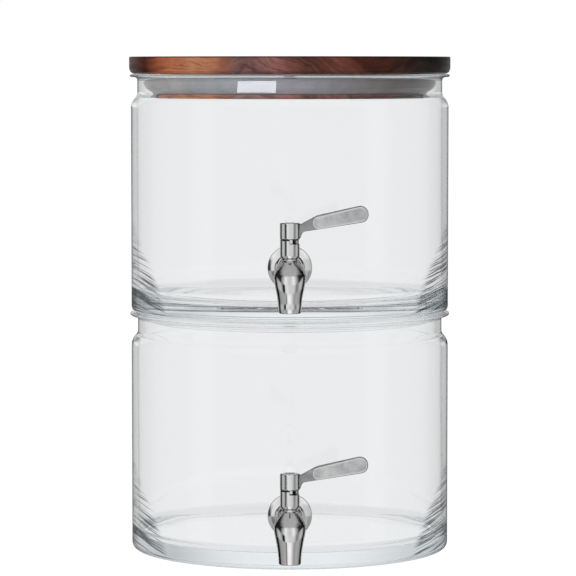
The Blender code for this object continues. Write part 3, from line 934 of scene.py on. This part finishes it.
def jar_wave(radius, height, turn):
    """Uneven glass: low rings on the inside wall, a slow drift round it, a rippled floor."""
    if 12.0 < height < SHOULDER_Z - 0.4 and 121.0 < radius < 123.5:
        low = math.exp(-(((height - 14.0) / 32.0) ** 2))
        ring = math.sin(height / 1.35 + 1.3 * math.sin(height / 7.0) + 0.25 * math.sin(2 * turn))
        ring += 0.6 * math.sin(height / 2.9 + 0.4 * math.sin(3 * turn + 1.0))
        radius += 0.085 * low * ring
        radius += 0.05 * math.sin(3 * turn + height / 60.0)
        radius += 0.035 * math.sin(5 * turn + 1.7 - height / 45.0)
    elif 11.0 < height < 13.5 and radius < 113.0:
        height += 0.012 * math.sin(radius / 6.0) * min(1.0, radius / 30.0)
    return radius, height


def build_jar(tier):
    base = BASES[tier]
    jar = lathe(
        tier + "_glass_jar",
        jar_outline(foot=tier == "upper"),
        JAR_STEPS,
        origin=(0, 0, base),
        sharp=None,
        wave=jar_wave,
    )
    hole = prism(
        "hole",
        circle(HOLE_R, 48),
        -JAR_R - 4.0,
        -INNER_R + 6.0,
        lambda u, v, along: (u, along, v + base + SHANK_Z),
    )
    cut(jar, hole, sharp=50.0)
    dress(jar, "clear_glass", tier + "_jar", tier + "_jar", material=GLASS[tier])


for tier in TIERS:
    build_jar(tier)

# ------------------------------------------------------------ lid: radius, height, fillet
PLUG_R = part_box("lid_plug")[1].x / MM
PLUG_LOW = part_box("lid_plug")[0].z / MM - LID_Z
PLUG_STEP = PLUG_LOW + 4.4  # top of the plug's wider foot
PLUG_NECK_R = 103.6

BOARD_OUTLINE = [
    (0.0, LID_T), (LID_R, LID_T, 1.0), (LID_R, 4.2, 3.0), (LID_R - 1.1, 1.4, 2.0),
    (LID_R - 3.2, 0.0, 2.5), (0.0, 0.0),
]
PLUG_OUTLINE = [
    (0.0, -0.3), (PLUG_NECK_R, -0.3, 0.3), (PLUG_NECK_R, PLUG_STEP, 0.6),
    (PLUG_R, PLUG_STEP, 0.5), (PLUG_R, PLUG_LOW, 0.8), (0.0, PLUG_LOW),
]
GASKET_OUTLINE = [
    (104.1, -0.7, 0.3), (116.2, -0.7, 0.6), (117.0, -2.0, 1.0), (117.0, -3.6, 0.5),
    (116.3, -4.3, 0.4), (116.9, -5.0, 0.5), (117.0, -8.0, 2.0), (115.4, -11.0, 3.0),
    (111.8, -13.8, 3.0), (107.9, -15.5, 0.8), (104.1, -15.6, 0.4),
]


def build_lid():
    origin = (0, 0, LID_Z)
    outline = divided(rounded(BOARD_OUTLINE), 6.0)
    board = lathe("lid_board_turned", outline, 288, origin=origin, sharp=40.0)
    dress(board, "acacia_wood", "lid", "lid_board")
    outline = divided(rounded(PLUG_OUTLINE), 8.0)
    plug = lathe("lid_plug_turned", outline, 240, origin=origin, sharp=40.0)
    dress(plug, "acacia_plug", "lid", "lid_plug")
    gasket = turned_ring(
        "lid_gasket_moulded", GASKET_OUTLINE, 240, longest=6.0, origin=origin, sharp=50.0
    )
    dress(gasket, "grey_silicone", "lid", "lid_gasket")


build_lid()

# ------------------------------------------------------------ spigot casting
# Modelled about the valve axis, height 0 on the shank's axis.
# Barrel: height, radius
BARREL = [
    (22.45, 7.4), (16.0, 7.4), (10.6, 7.4), (9.3, 7.15), (8.4, 6.65), (7.7, 6.2), (7.0, 6.02),
    (6.2, 6.2), (3.0, 6.9), (0.0, 7.0), (-4.0, 6.7), (-7.0, 5.4), (-9.0, 3.0), (-9.9, 0.6),
]
BARREL_TOP, BARREL_FOOT = BARREL[0][0], BARREL[-1][0]
# Spout and its bore: height, radius, distance of the centre in front of the valve axis
SPOUT = [
    (7.1, 5.2, 0.0), (6.2, 6.6, 0.3), (4.8, 7.8, 0.8), (1.8, 9.9, 2.1), (-1.2, 11.5, 3.6),
    (-4.4, 12.3, 5.2), (-7.6, 12.05, 6.65), (-12.4, 11.15, 8.45), (-19.5, 9.75, 9.75),
    (-25.0, 9.0, 10.2), (-30.2, 8.55, 10.5), (-32.6, 8.4, 10.5),
]
SPOUT_BORE = [
    (-0.2, 2.4, 8.3), (-4.0, 4.2, 10.2), (-8.2, 5.4, 10.7), (-14.0, 6.6, 9.4),
    (-20.0, 6.7, 9.9), (-27.0, 6.6, 10.4), (-36.0, 6.9, 10.5),
]
# Neck towards the jar: y, radius
NECK = [
    (-1.0, 7.1), (8.0, 7.1), (13.0, 7.2), (15.2, 7.7), (16.8, 8.8), (17.7, 9.15), (18.6, 9.2),
]
BARREL_RADIUS = smooth_table(BARREL, 1)
SPOUT_RADIUS = smooth_table(SPOUT, 1)
SPOUT_OFFSET = smooth_table(SPOUT, 2)
SPOUT_SLOPE = (SPOUT_RADIUS[0], np.gradient(SPOUT_RADIUS[1], SPOUT_RADIUS[0]))
BORE_RADIUS = smooth_table(SPOUT_BORE, 1)
BORE_OFFSET = smooth_table(SPOUT_BORE, 2)
NECK_RADIUS = smooth_table(NECK, 1)
SLOT_START, SLOT_END = math.radians(-91.0), math.radians(21.0)
SLOT_FLOOR = 19.5


def casting_field(x, y, z):
    """Barrel, spout and neck, hollowed; the last number of each join is its blend length."""
    around = np.hypot(x, y)
    about_shank = np.hypot(x, z)
    barrel = soft_max(around - np.interp(z, *BARREL_RADIUS), z - BARREL_TOP, 0.5)
    barrel = soft_max(barrel, BARREL_FOOT - z, 0.5)
    spout = np.hypot(x, y + np.interp(z, *SPOUT_OFFSET)) - np.interp(z, *SPOUT_RADIUS)
    spout = spout / np.sqrt(1 + np.interp(z, *SPOUT_SLOPE) ** 2)
    spout = soft_max(spout, -32.4 - z, 0.9)
    spout = soft_max(spout, z - 7.0, 0.4)
    neck = about_shank - np.interp(y, *NECK_RADIUS)
    neck = soft_max(soft_max(neck, y - 18.5, 0.4), -y, 0.4)
    solid = soft_min(barrel, spout, 0.9)
    solid = soft_min(solid, neck, 1.8)

    bore = np.hypot(x, y + np.interp(z, *BORE_OFFSET)) - np.interp(z, *BORE_RADIUS)
    bore = soft_max(bore, z - 0.2, 0.4)
    solid = soft_max(solid, -bore, 0.7)
    chamber = soft_max(around - 4.8, -6.5 - z, 0.2)
    solid = soft_max(solid, -chamber, 0.35)
    through_neck = soft_max(about_shank - 4.0, -y, 0.2)
    solid = soft_max(solid, -through_neck, 0.3)
    port = soft_max(np.hypot(x, z + 1.0) - 2.5, np.abs(y + 4.0) - 4.0, 0.2)
    solid = soft_max(solid, -port, 0.3)

    # the stop slot: a sector of the rim
    before_start = x * math.sin(SLOT_START) - y * math.cos(SLOT_START)
    past_end = -x * math.sin(SLOT_END) + y * math.cos(SLOT_END)
    slot = soft_max(np.maximum(before_start, past_end), SLOT_FLOOR - z, 0.3)
    return soft_max(solid, -slot, 0.35)


def mark(obj, name, values):
    """Stores a value from 0 to 1 on each vertex."""
    layer = obj.data.attributes.new(name, "FLOAT", "POINT")
    layer.data.foreach_set("value", np.clip(values, 0, 1).astype(np.float32))


def vertices_mm(obj):
    """The vertices in mm, and their distance from the valve axis."""
    points = np.array([vertex.co for vertex in obj.data.vertices]) / MM
    return points, np.hypot(points[:, 0], points[:, 1])


def make_casting():
    low, high = (-12.6, -20.5, -33.0), (12.6, 18.9, 22.6)
    casting = surface("casting", casting_field, low, high, CASTING_CELL)
    points, around = vertices_mm(casting)
    height = points[:, 2]
    rim = (height - 21.75) / 0.3
    inside_top = 0.5 * ((height - 19.0) / 0.4).clip(0, 1) * ((7.05 - around) / 0.3).clip(0, 1)
    mark(casting, "shade", np.maximum(rim, inside_top))
    return casting


# ------------------------------------------------------------ lever
# Seen from the front: x, height, fillet
ARM = rounded(
    [
        (4.6, 25.6), (8.0, 24.3), (9.7, 28.6, 3.4), (60.4, 36.5, 6.1), (58.1, 49.5, 6.1),
        (20.5, 41.1, 12.0), (7.6, 34.1), (4.6, 33.0),
    ],
    closed=True,
    step=12.0,
)
POCKET = rounded(
    [(18.3, 31.1, 3.8), (58.7, 37.7, 4.8), (56.9, 47.7, 4.8), (18.5, 38.5, 3.4)],
    closed=True,
    step=12.0,
)
HUB_R, HUB_Z, HUB_HALF_H = 7.6, 29.075, 6.325
ARM_HALF_T, ARM_EDGE_R = 1.7, 0.75
POCKET_FLOOR_Y = -1.12
PIN_RADIUS, PIN_ANGLE = 5.75, math.radians(10.0)  # place of the pin hole round the axis


def lever_field(x, y, z):
    """A round hub and a flat arm with rounded edges and a shallow pocket in its front."""
    hub = soft_max(np.hypot(x, y) - HUB_R, np.abs(z - HUB_Z) - HUB_HALF_H, 0.9)
    beside = outline_distance(x, z, ARM) + ARM_EDGE_R
    across = np.abs(y) - ARM_HALF_T + ARM_EDGE_R
    outside = np.hypot(np.maximum(beside, 0.0), np.maximum(across, 0.0))
    arm = np.minimum(np.maximum(beside, across), 0.0) + outside - ARM_EDGE_R
    solid = soft_min(hub, arm, 1.4)
    pocket = soft_max(outline_distance(x, z, POCKET), y - POCKET_FLOOR_Y, 0.5)
    return soft_max(solid, -pocket, 0.35)


def make_lever():
    lever = surface("lever", lever_field, (-8.0, -8.0, 22.4), (60.5, 8.0, 49.0), LEVER_CELL)
    points, around = vertices_mm(lever)
    x, y, z = points.T
    from_step = outline_distance(x, z, POCKET) - 0.15
    on_front = (y < 0) & (x > 9.0)
    polish = np.clip(1.6 - np.abs(from_step) / 0.46, 0, 1)
    mark(lever, "polish", np.where(on_front, polish, 0.0))
    mark(lever, "panel", np.where(on_front, 0.5 - from_step / 0.4, 0.0))
    mark(lever, "hub", 1 - np.clip((around - 7.75) / 0.7, 0, 1))
    mark(lever, "shade", (23.55 - z) / 0.35 * (around < 7.9))

    socket = prism("socket", square(2.3), 20.0, 31.4)
    recess = [(0.0, 37.0), (3.9, 37.0), (3.9, 33.2), (1.6, 33.2), (1.6, 30.0), (0.0, 30.0)]
    recess = lathe("recess", recess, 64)
    pin_x, pin_y = PIN_RADIUS * math.cos(PIN_ANGLE), PIN_RADIUS * math.sin(PIN_ANGLE)
    pin_hole = prism(
        "pin_hole", circle(1.0, 24), 20.0, 26.4, lambda u, v, along: (u + pin_x, v + pin_y, along)
    )
    return cut(lever, socket, recess, pin_hole, sharp=38.0)


# ------------------------------------------------------------ pieces on the valve axis
# Outlines: radius, height, fillet
STEM = [
    (0.0, 19.4), (3.0, 19.4, 0.2), (3.0, 15.0, 0.3), (4.6, 15.0, 0.3), (4.6, 13.1, 0.15),
    (2.9, 13.1, 0.2), (2.9, 11.1, 0.2), (4.6, 11.1, 0.15), (4.6, 9.1, 0.15), (2.9, 9.1, 0.2),
    (2.9, 7.1, 0.2), (4.6, 7.1, 0.15), (4.6, -6.2, 0.5), (0.0, -6.2),
]
SCREW = [
    (0.0, 35.2), (2.6, 35.2, 0.6), (3.5, 34.7, 0.5), (3.5, 33.5, 0.15), (1.05, 33.5, 0.2),
    (1.05, 24.6, 0.2), (0.7, 24.2), (0.0, 24.2),
]
PIN = [(0.0, 25.8), (0.8, 25.8, 0.2), (0.8, 19.9, 0.25), (0.0, 19.9)]
BUSH = [(3.25, 18.9, 0.25), (4.55, 18.9, 0.25), (4.55, 15.4, 0.2), (3.25, 15.4, 0.2)]
RING_R, RING_THICK_R = 3.78, 0.8


def make_stem():
    """A grooved plug with a square drive on top, a cross bore and a tapped hole."""
    stem = lathe("stem", rounded(STEM), 72)
    cut(stem, prism("drive", square(2.1, fillet=0.3), 18.4, 31.0), operation="UNION")
    cross_bore = prism(
        "cross", circle(2.7, 48), -8.0, 8.0, lambda u, v, along: (along, u, v - 1.0)
    )
    return cut(stem, cross_bore, prism("tapped", circle(1.25, 24), 23.0, 33.0))


def make_screw():
    """A round-headed screw with a hexagon socket."""
    screw = lathe("screw", rounded(SCREW), 64)
    return cut(screw, prism("key", circle(1.5, 6, math.pi / 6), 34.0, 36.5))


def make_o_ring(name, height):
    angles = [-2 * math.pi * k / 20 for k in range(20)]
    outline = [
        (RING_R + RING_THICK_R * math.cos(angle), height + RING_THICK_R * math.sin(angle))
        for angle in angles
    ]
    return lathe(name, outline, 64, closed=True, sharp=None)


# ------------------------------------------------------------ pieces on the shank
# Radius, distance in front of the outside of the glass, fillet
ESCUTCHEON = [
    (8.0, 7.1, 0.3), (9.7, 7.1, 0.8), (11.2, 5.9, 2.5), (14.2, 5.1, 5.0), (17.0, 4.1, 0.7),
    (17.0, 3.0, 0.3), (15.8, 3.0, 0.3), (15.0, 3.35, 0.3), (9.4, 3.35, 0.3), (8.6, 3.0, 0.2),
    (8.0, 3.0, 0.2),
]
OUTER_SEAL = [(8.0, 2.7, 0.2), (16.0, 2.7, 0.8), (16.0, -3.0), (8.0, -3.0)]
INNER_SEAL = [(8.0, -3.0), (14.0, -3.0), (14.0, -7.4, 0.6), (8.0, -7.4, 0.2)]
WASHER = [(8.0, -7.7, 0.15), (13.5, -7.7, 0.3), (13.5, -9.0, 0.3), (8.0, -9.0, 0.15)]
NUT_TURNING = [
    (8.0, -9.6), (8.6, -9.25), (12.4, -9.25), (13.95, -10.2), (13.95, -14.4), (12.4, -15.35),
    (8.6, -15.35), (8.0, -15.0),
]
NUT_HALF_FLATS = 12.0
THREAD_START, THREAD_END = -0.4, -19.4
THREAD_PITCH, THREAD_DEPTH, THREAD_FADE = 1.5, 0.62, 1.2
SHANK_R, SHANK_BORE_R, SHANK_ROW = 7.6, 4.0, 0.125  # SHANK_ROW: spacing of the rows


def glass_cylinder(name, radius):
    """A cylinder about the jar's axis, seen from the outside of the glass at the front."""
    outline = [(0.0, 40.0), (radius, 40.0), (radius, -40.0), (0.0, -40.0)]
    return lathe(name, outline, 288, origin=(0, JAR_R, 0))


def make_outer_seal():
    seal = turned_ring("outer_seal", OUTER_SEAL, 120, longest=1.0, outward=True)
    return cut(seal, glass_cylinder("glass_face", JAR_R + 0.2))


def make_inner_seal():
    seal = turned_ring("inner_seal", INNER_SEAL, 120, longest=1.0, outward=True)
    bore = glass_cylinder("glass_bore", INNER_R - 0.25)
    return cut(seal, bore, operation="INTERSECT")


def make_nut():
    """A hexagon nut inside the jar, with turned chamfers and bore."""
    hexagon = circle(NUT_HALF_FLATS / math.cos(math.pi / 6), 6)
    nut = prism("nut", hexagon, 9.3, 15.3, lambda u, v, along: (u, along, v))
    chamfer = turned_ring("chamfer", NUT_TURNING, 144, outward=True)
    return cut(nut, chamfer, operation="INTERSECT", sharp=25.0)


def thread_wave(radius, height, turn):
    """A screw thread on the shank: a helix of rounded ridges with plain ends."""
    if radius > 6.9 and THREAD_END < height < THREAD_START:
        phase = height / THREAD_PITCH + turn / (2 * math.pi)
        ridge = 0.5 - 0.5 * math.cos(2 * math.pi * phase)
        from_start = (THREAD_START - height) / THREAD_FADE
        from_end = (height - THREAD_END) / THREAD_FADE
        fade = max(0.0, min(1.0, from_start, from_end))
        return radius - THREAD_DEPTH * ridge**0.8 * fade, height
    return radius, height


def make_shank():
    rows = int(26.3 / SHANK_ROW) + 1
    outline = [(SHANK_BORE_R, 7.4), (7.4, 7.4)]
    outline += [(SHANK_R, 7.3 - SHANK_ROW * k) for k in range(rows)]
    outline += [(7.0, -19.6), (6.6, -20.0), (4.5, -20.0), (SHANK_BORE_R, -19.5)]
    return lathe("shank", outline, 96, closed=True, outward=True, sharp=50.0, wave=thread_wave)


# Each piece: mesh, name, material slot, body it rides on, frame node it replaces
ON_VALVE = [
    (make_casting(), "spigot_casting", "polished_steel", "jar", "spigot_body"),
    (make_stem(), "valve_stem", "polished_steel", "lever", "valve_plug"),
    (make_screw(), "hub_screw", "polished_steel", "lever", "lever_screw"),
    (lathe("pin", rounded(PIN), 32), "travel_pin", "polished_steel", "lever", "stop_pin"),
    (turned_ring("bush", BUSH, 72), "bush_ring", "polished_steel", "jar", "retaining_bush"),
    (make_o_ring("ring_low", 8.1), "seal_ring_low", "black_rubber", "lever", "o_ring_low"),
    (make_o_ring("ring_high", 12.1), "seal_ring_high", "black_rubber", "lever", "o_ring_high"),
    (make_lever(), "cast_lever", "satin_steel", "lever", "lever"),
]
escutcheon = turned_ring("escutcheon", ESCUTCHEON, 144, arc_step=6.0, outward=True)
washer = turned_ring("washer", WASHER, 96, outward=True)
ON_SHANK = [
    (escutcheon, "flange", "polished_steel", "jar", "escutcheon"),
    (make_outer_seal(), "outer_gasket", "clear_silicone", "jar", "outer_seal"),
    (make_inner_seal(), "inner_gasket", "clear_silicone", "jar", "inner_seal"),
    (washer, "washer", "polished_steel", "jar", "flat_washer"),
    (make_nut(), "hex_nut", "polished_steel", "jar", "shank_nut"),
    (make_shank(), "threaded_shank", "polished_steel", "jar", "spigot_body"),
]


def copy_at(source, name, y, z):
    """A copy of a locally modelled piece, its mesh moved to its place."""
    mesh = source.data.copy()
    mesh.name = name
    mesh.transform(Matrix.Translation((0.0, y * MM, z * MM)))
    return link_object(name, mesh)


for tier in TIERS:
    for pieces, y in ((ON_VALVE, AXIS_Y), (ON_SHANK, -JAR_R)):
        for source, name, slot, body, node in pieces:
            piece = copy_at(source, f"{tier}_{name}", y, BASES[tier] + SHANK_Z)
            dress(piece, slot, f"{tier}_{body}", f"{tier}_{node}")
for source, *_ in ON_VALVE + ON_SHANK:
    bpy.data.objects.remove(source, do_unlink=True)


# ------------------------------------------------------------ floor
def floor_material():
    """A pale, glowing floor that fades out with distance and isn't mirrored."""
    material, tree = new_material("pale_floor")
    where = tree.place()
    x, y, _ = tree.xyz(where)
    distance = tree.radius(x, y)
    paper = tree.noise(where, scale=60.0)
    lit = tree.principled(
        Base_Color=tree.mix(paper, start=(0.11, 0.11, 0.11), end=(0.13, 0.13, 0.13)),
        Roughness=0.9,
        Specular_IOR_Level=0.0,
    )
    ray = tree.node("LightPath").outputs
    strength = tree.linear(ray["Is Camera Ray"], over=(0.0, 1.0), to=(0.72, 0.98))
    glow = tree.named("Emission", Color=(1.0, 1.0, 1.0), Strength=strength)
    both = tree.node("AddShader", lit, glow).outputs[0]
    clear = tree.named("BsdfTransparent")
    far = tree.smooth(distance, over=(0.45, 1.6))
    fade = tree.math("MAXIMUM", far, ray["Is Glossy Ray"])
    tree.finish(tree.mix_shader(fade, both, clear))
    return material


FLOOR_R, FLOOR_Z, FLOOR_SIDES = 2600.0, -0.3, 128
floor = finish_mesh(
    "floor",
    [(x, y, FLOOR_Z) for x, y in circle(FLOOR_R, FLOOR_SIDES)],
    [tuple(range(FLOOR_SIDES))],
)
floor.data.materials.append(floor_material())

# ------------------------------------------------------------ camera
scene = bpy.context.scene
DISTANCE = 2.54  # from the eye to the jars' axis, level
EYE = 0.3864  # height of the eye
AIM_DROP = 0.17768  # how far below the eye the camera's aim meets the plane of the jars' axis
VIEW_WIDTH = 0.4608  # width of the view at the eye-level point on the jars' axis
SENSOR = 36.0
PITCH = math.atan2(AIM_DROP, DISTANCE)

camera = link_object("camera", bpy.data.cameras.new("camera"))
scene.camera = camera
camera.data.sensor_width = SENSOR
camera.data.lens = SENSOR * DISTANCE / VIEW_WIDTH * math.cos(PITCH)
camera.location = (-0.0014, -DISTANCE, EYE)
camera.rotation_euler = (math.pi / 2 - PITCH, 0.0, 0.0)
camera.data.clip_end = 100.0

# ------------------------------------------------------------ world
# Tables: degrees round to the right from straight ahead, brightness.
BEHIND = 0.90
# Seen through the glass: white behind, flags at the sides, grey towards the camera
THROUGH = [
    (-180, 0.50), (-121, 0.55), (-117, 0.90), (-101, 0.90), (-97, 0.60), (-60, 0.74),
    (-43, 0.74), (-36, 0.68), (-16, 0.86), (-9, 0.91), (-4, BEHIND), (5, BEHIND), (10, 0.88),
    (16, 0.82), (34, 0.56), (41, 0.60), (60, 0.68), (76, 0.66), (96, 0.55), (101, 0.70),
    (116, 0.70), (121, 0.45), (180, 0.50),
]
# Mirrored at eye level, above it and below it: what stands round the camera
MIRRORED_LEVEL = [
    (-180, 0.70), (-160, 0.80), (-150, 0.86), (-143, 0.60), (-140, 0.02), (-124, 0.02),
    (-120, 0.30), (-112, 0.46), (-97, 0.62), (-81, 0.50), (-72, 0.32), (-66, 0.01),
    (-40, 0.01), (-35, 0.60), (33, 0.60), (36, 0.01), (66, 0.01), (66, 0.20), (74, 0.42),
    (88, 0.60), (103, 0.48), (117, 0.24), (131, 0.28), (141, 0.62), (153, 0.70), (180, 0.70),
]
MIRRORED_UPPER = [
    (-180, 0.62), (-160, 0.80), (-146, 0.95), (-134, 0.60), (-120, 0.30), (-108, 0.02),
    (-44, 0.02), (-36, 0.80), (36, 0.80), (44, 0.02), (108, 0.02), (122, 0.30), (136, 0.60),
    (148, 0.95), (162, 0.80), (180, 0.62),
]
MIRRORED_LOWER = [
    (-180, 1.05), (-159, 0.95), (-155, 0.40), (-150, 0.14), (-146, 0.34), (-140, 0.44),
    (-110, 0.40), (-80, 0.30), (-73, 0.01), (-34, 0.01), (-28, 0.60), (24, 0.60), (28, 0.01),
    (68, 0.01), (78, 0.28), (104, 0.42), (124, 0.42), (142, 0.34), (152, 0.55), (164, 0.78),
    (173, 1.00), (180, 1.05),
]


def build_world():
    """A studio that looks different to each kind of ray; angles are in degrees."""
    world = bpy.data.worlds.new("studio")
    scene.world = world
    tree = ShaderTree(world, "OutputWorld")
    view = tree.node("TexCoord").outputs["Camera"]
    direction = tree.node("VectorMath", view, operation="NORMALIZE").outputs[0]
    x, up, ahead = tree.xyz(direction)

    # the camera looks a little down: turn its frame level, then measure round and up
    cosine, sine, to_degrees = math.cos(PITCH), math.sin(PITCH), 180.0 / math.pi
    level_up = tree.minus(tree.times(up, cosine), tree.times(ahead, sine))
    level_ahead = tree.add(tree.times(ahead, cosine), tree.times(up, sine))
    side = tree.times(tree.math("ARCTAN2", x, level_ahead), to_degrees)
    rise = tree.times(tree.math("ARCSINE", level_up), to_degrees)
    wide = tree.math("ABSOLUTE", side)
    on_right = tree.math("GREATER_THAN", side, 0.0)
    ray = tree.node("LightPath").outputs

    def around(stops):
        turn = tree.linear(side, over=(-180.0, 180.0))
        return tree.ramp(turn, placed(stops, -180.0, 180.0))

    through = around(THROUGH)
    tall = tree.smooth(tree.math("ABSOLUTE", rise), over=(12.0, 24.0))
    through = tree.blend(tall, through, second=0.80)

    mirrored, upper, lower = map(around, (MIRRORED_LEVEL, MIRRORED_UPPER, MIRRORED_LOWER))
    mirrored = tree.blend(tree.smooth(rise, over=(8.0, 18.0)), mirrored, upper)
    mirrored = tree.blend(tree.smooth(rise, over=(40.0, 66.0)), mirrored, second=0.44)
    mirrored = tree.blend(tree.smooth(rise, over=(-6.5, -11.0)), mirrored, lower)
    mirrored = tree.blend(tree.smooth(rise, over=(-45.0, -62.0)), mirrored, second=0.40)

    # lighting dull things: much more from the left than from the right
    spread = tree.smooth(side, over=(-150.0, 60.0), to=(0.80, 0.05))
    spread = tree.times(spread, tree.smooth(wide, over=(60.0, 100.0), to=(0.6, 1.0)))

    # clear glass mirrors a plainer room than the steel does
    pane = tree.blend(
        tree.smooth(rise, over=(0.1, 0.5)),
        tree.smooth(wide, over=(28.0, 38.0), to=(0.12, 0.40)),
        tree.smooth(wide, over=(37.0, 42.0), to=(0.90, 0.40)),
    )
    pane = tree.times(pane, tree.blend(on_right, first=1.0, second=0.7))
    rear = tree.blend(on_right, first=0.62, second=0.50)
    pane = tree.blend(tree.smooth(wide, over=(108.0, 125.0)), pane, rear)
    mirrored = tree.blend(ray["Is Singular Ray"], mirrored, pane)

    strength = tree.blend(ray["Is Glossy Ray"], spread, mirrored)
    strength = tree.blend(ray["Is Transmission Ray"], strength, through)
    strength = tree.blend(ray["Is Camera Ray"], strength, second=1.03)
    tree.finish(tree.named("Background", Color=(0.985, 0.993, 1.0), Strength=strength))


build_world()

# ------------------------------------------------------------ lights
WINDOW_SIZE = (1.20, 0.10)
WINDOW_RADIANCE = 12.0
MIRROR_PATH = 4.72  # level path over which the ray's fall is followed back to the camera


def lamp(name, energy, size, place, target, colour=(1.0, 1.0, 1.0)):
    """A rectangular lamp that lights only dull surfaces unless told otherwise."""
    data = bpy.data.lights.new(name, "AREA")
    data.energy = energy
    data.color = colour
    data.shape = "RECTANGLE"
    data.size, data.size_y = size
    obj = link_object(name, data)
    obj.location = place
    obj.rotation_euler = (Vector(place) - Vector(target)).to_track_quat("Z", "Y").to_euler()
    obj.visible_glossy = False
    obj.visible_transmission = False
    obj.visible_camera = False
    return obj


def window_shader(light):
    """Shines only at upright glass.

    There the height it is met at and the ray's fall give back the camera's own height.
    """
    tree = ShaderTree(light, "OutputLight")
    met = tree.node("NewGeometry").outputs
    x, y, z = tree.xyz(met["Incoming"])
    fall = tree.math("DIVIDE", z, tree.radius(x, y))
    unfolded = tree.add(tree.xyz(met["Position"])[2], tree.times(fall, MIRROR_PATH))
    strength = tree.smooth(unfolded, over=(EYE - 0.009, EYE - 0.005))
    tree.finish(tree.named("Emission", Strength=strength))


def build_window():
    """A window mirrored in the upper jar alone."""
    window = lamp(
        "window",
        energy=WINDOW_RADIANCE * math.pi * WINDOW_SIZE[0] * WINDOW_SIZE[1],
        size=WINDOW_SIZE,
        place=(-0.98, -2.19, 0.385),
        target=(0, 0, 0.385),
        colour=(0.93, 0.955, 1.0),
    )
    window.visible_glossy = True
    window.visible_diffuse = False
    window_shader(window.data)
    glassware = bpy.data.collections.new("glassware")
    glassware.objects.link(bpy.data.objects["upper_glass_jar"])
    window.light_linking.receiver_collection = glassware


build_window()
lamp("key", energy=9.0, size=(0.5, 0.8), place=(-1.5, -1.3, 0.7), target=(0, 0, 0.30))
lamp("top", energy=5.0, size=(1.2, 1.2), place=(-0.3, 0.2, 1.9), target=(0, 0, 0.2))

# the lights move with the camera
bpy.context.view_layer.update()
for light in [obj for obj in scene.objects if obj.type == "LIGHT"]:
    where = light.matrix_world.copy()
    light.parent = camera
    light.matrix_parent_inverse = camera.matrix_world.inverted()
    light.matrix_world = where

# ------------------------------------------------------------ render settings
scene.view_settings.view_transform = "Standard"
scene.view_settings.look = "None"
scene.view_settings.exposure = 0.0
scene.cycles.max_bounces = 64
scene.cycles.transmission_bounces = 64
scene.cycles.transparent_max_bounces = 64
scene.cycles.glossy_bounces = 48
scene.cycles.diffuse_bounces = 4
scene.cycles.volume_bounces = 0
scene.cycles.caustics_reflective = False
scene.cycles.caustics_refractive = True
scene.cycles.use_denoising = True
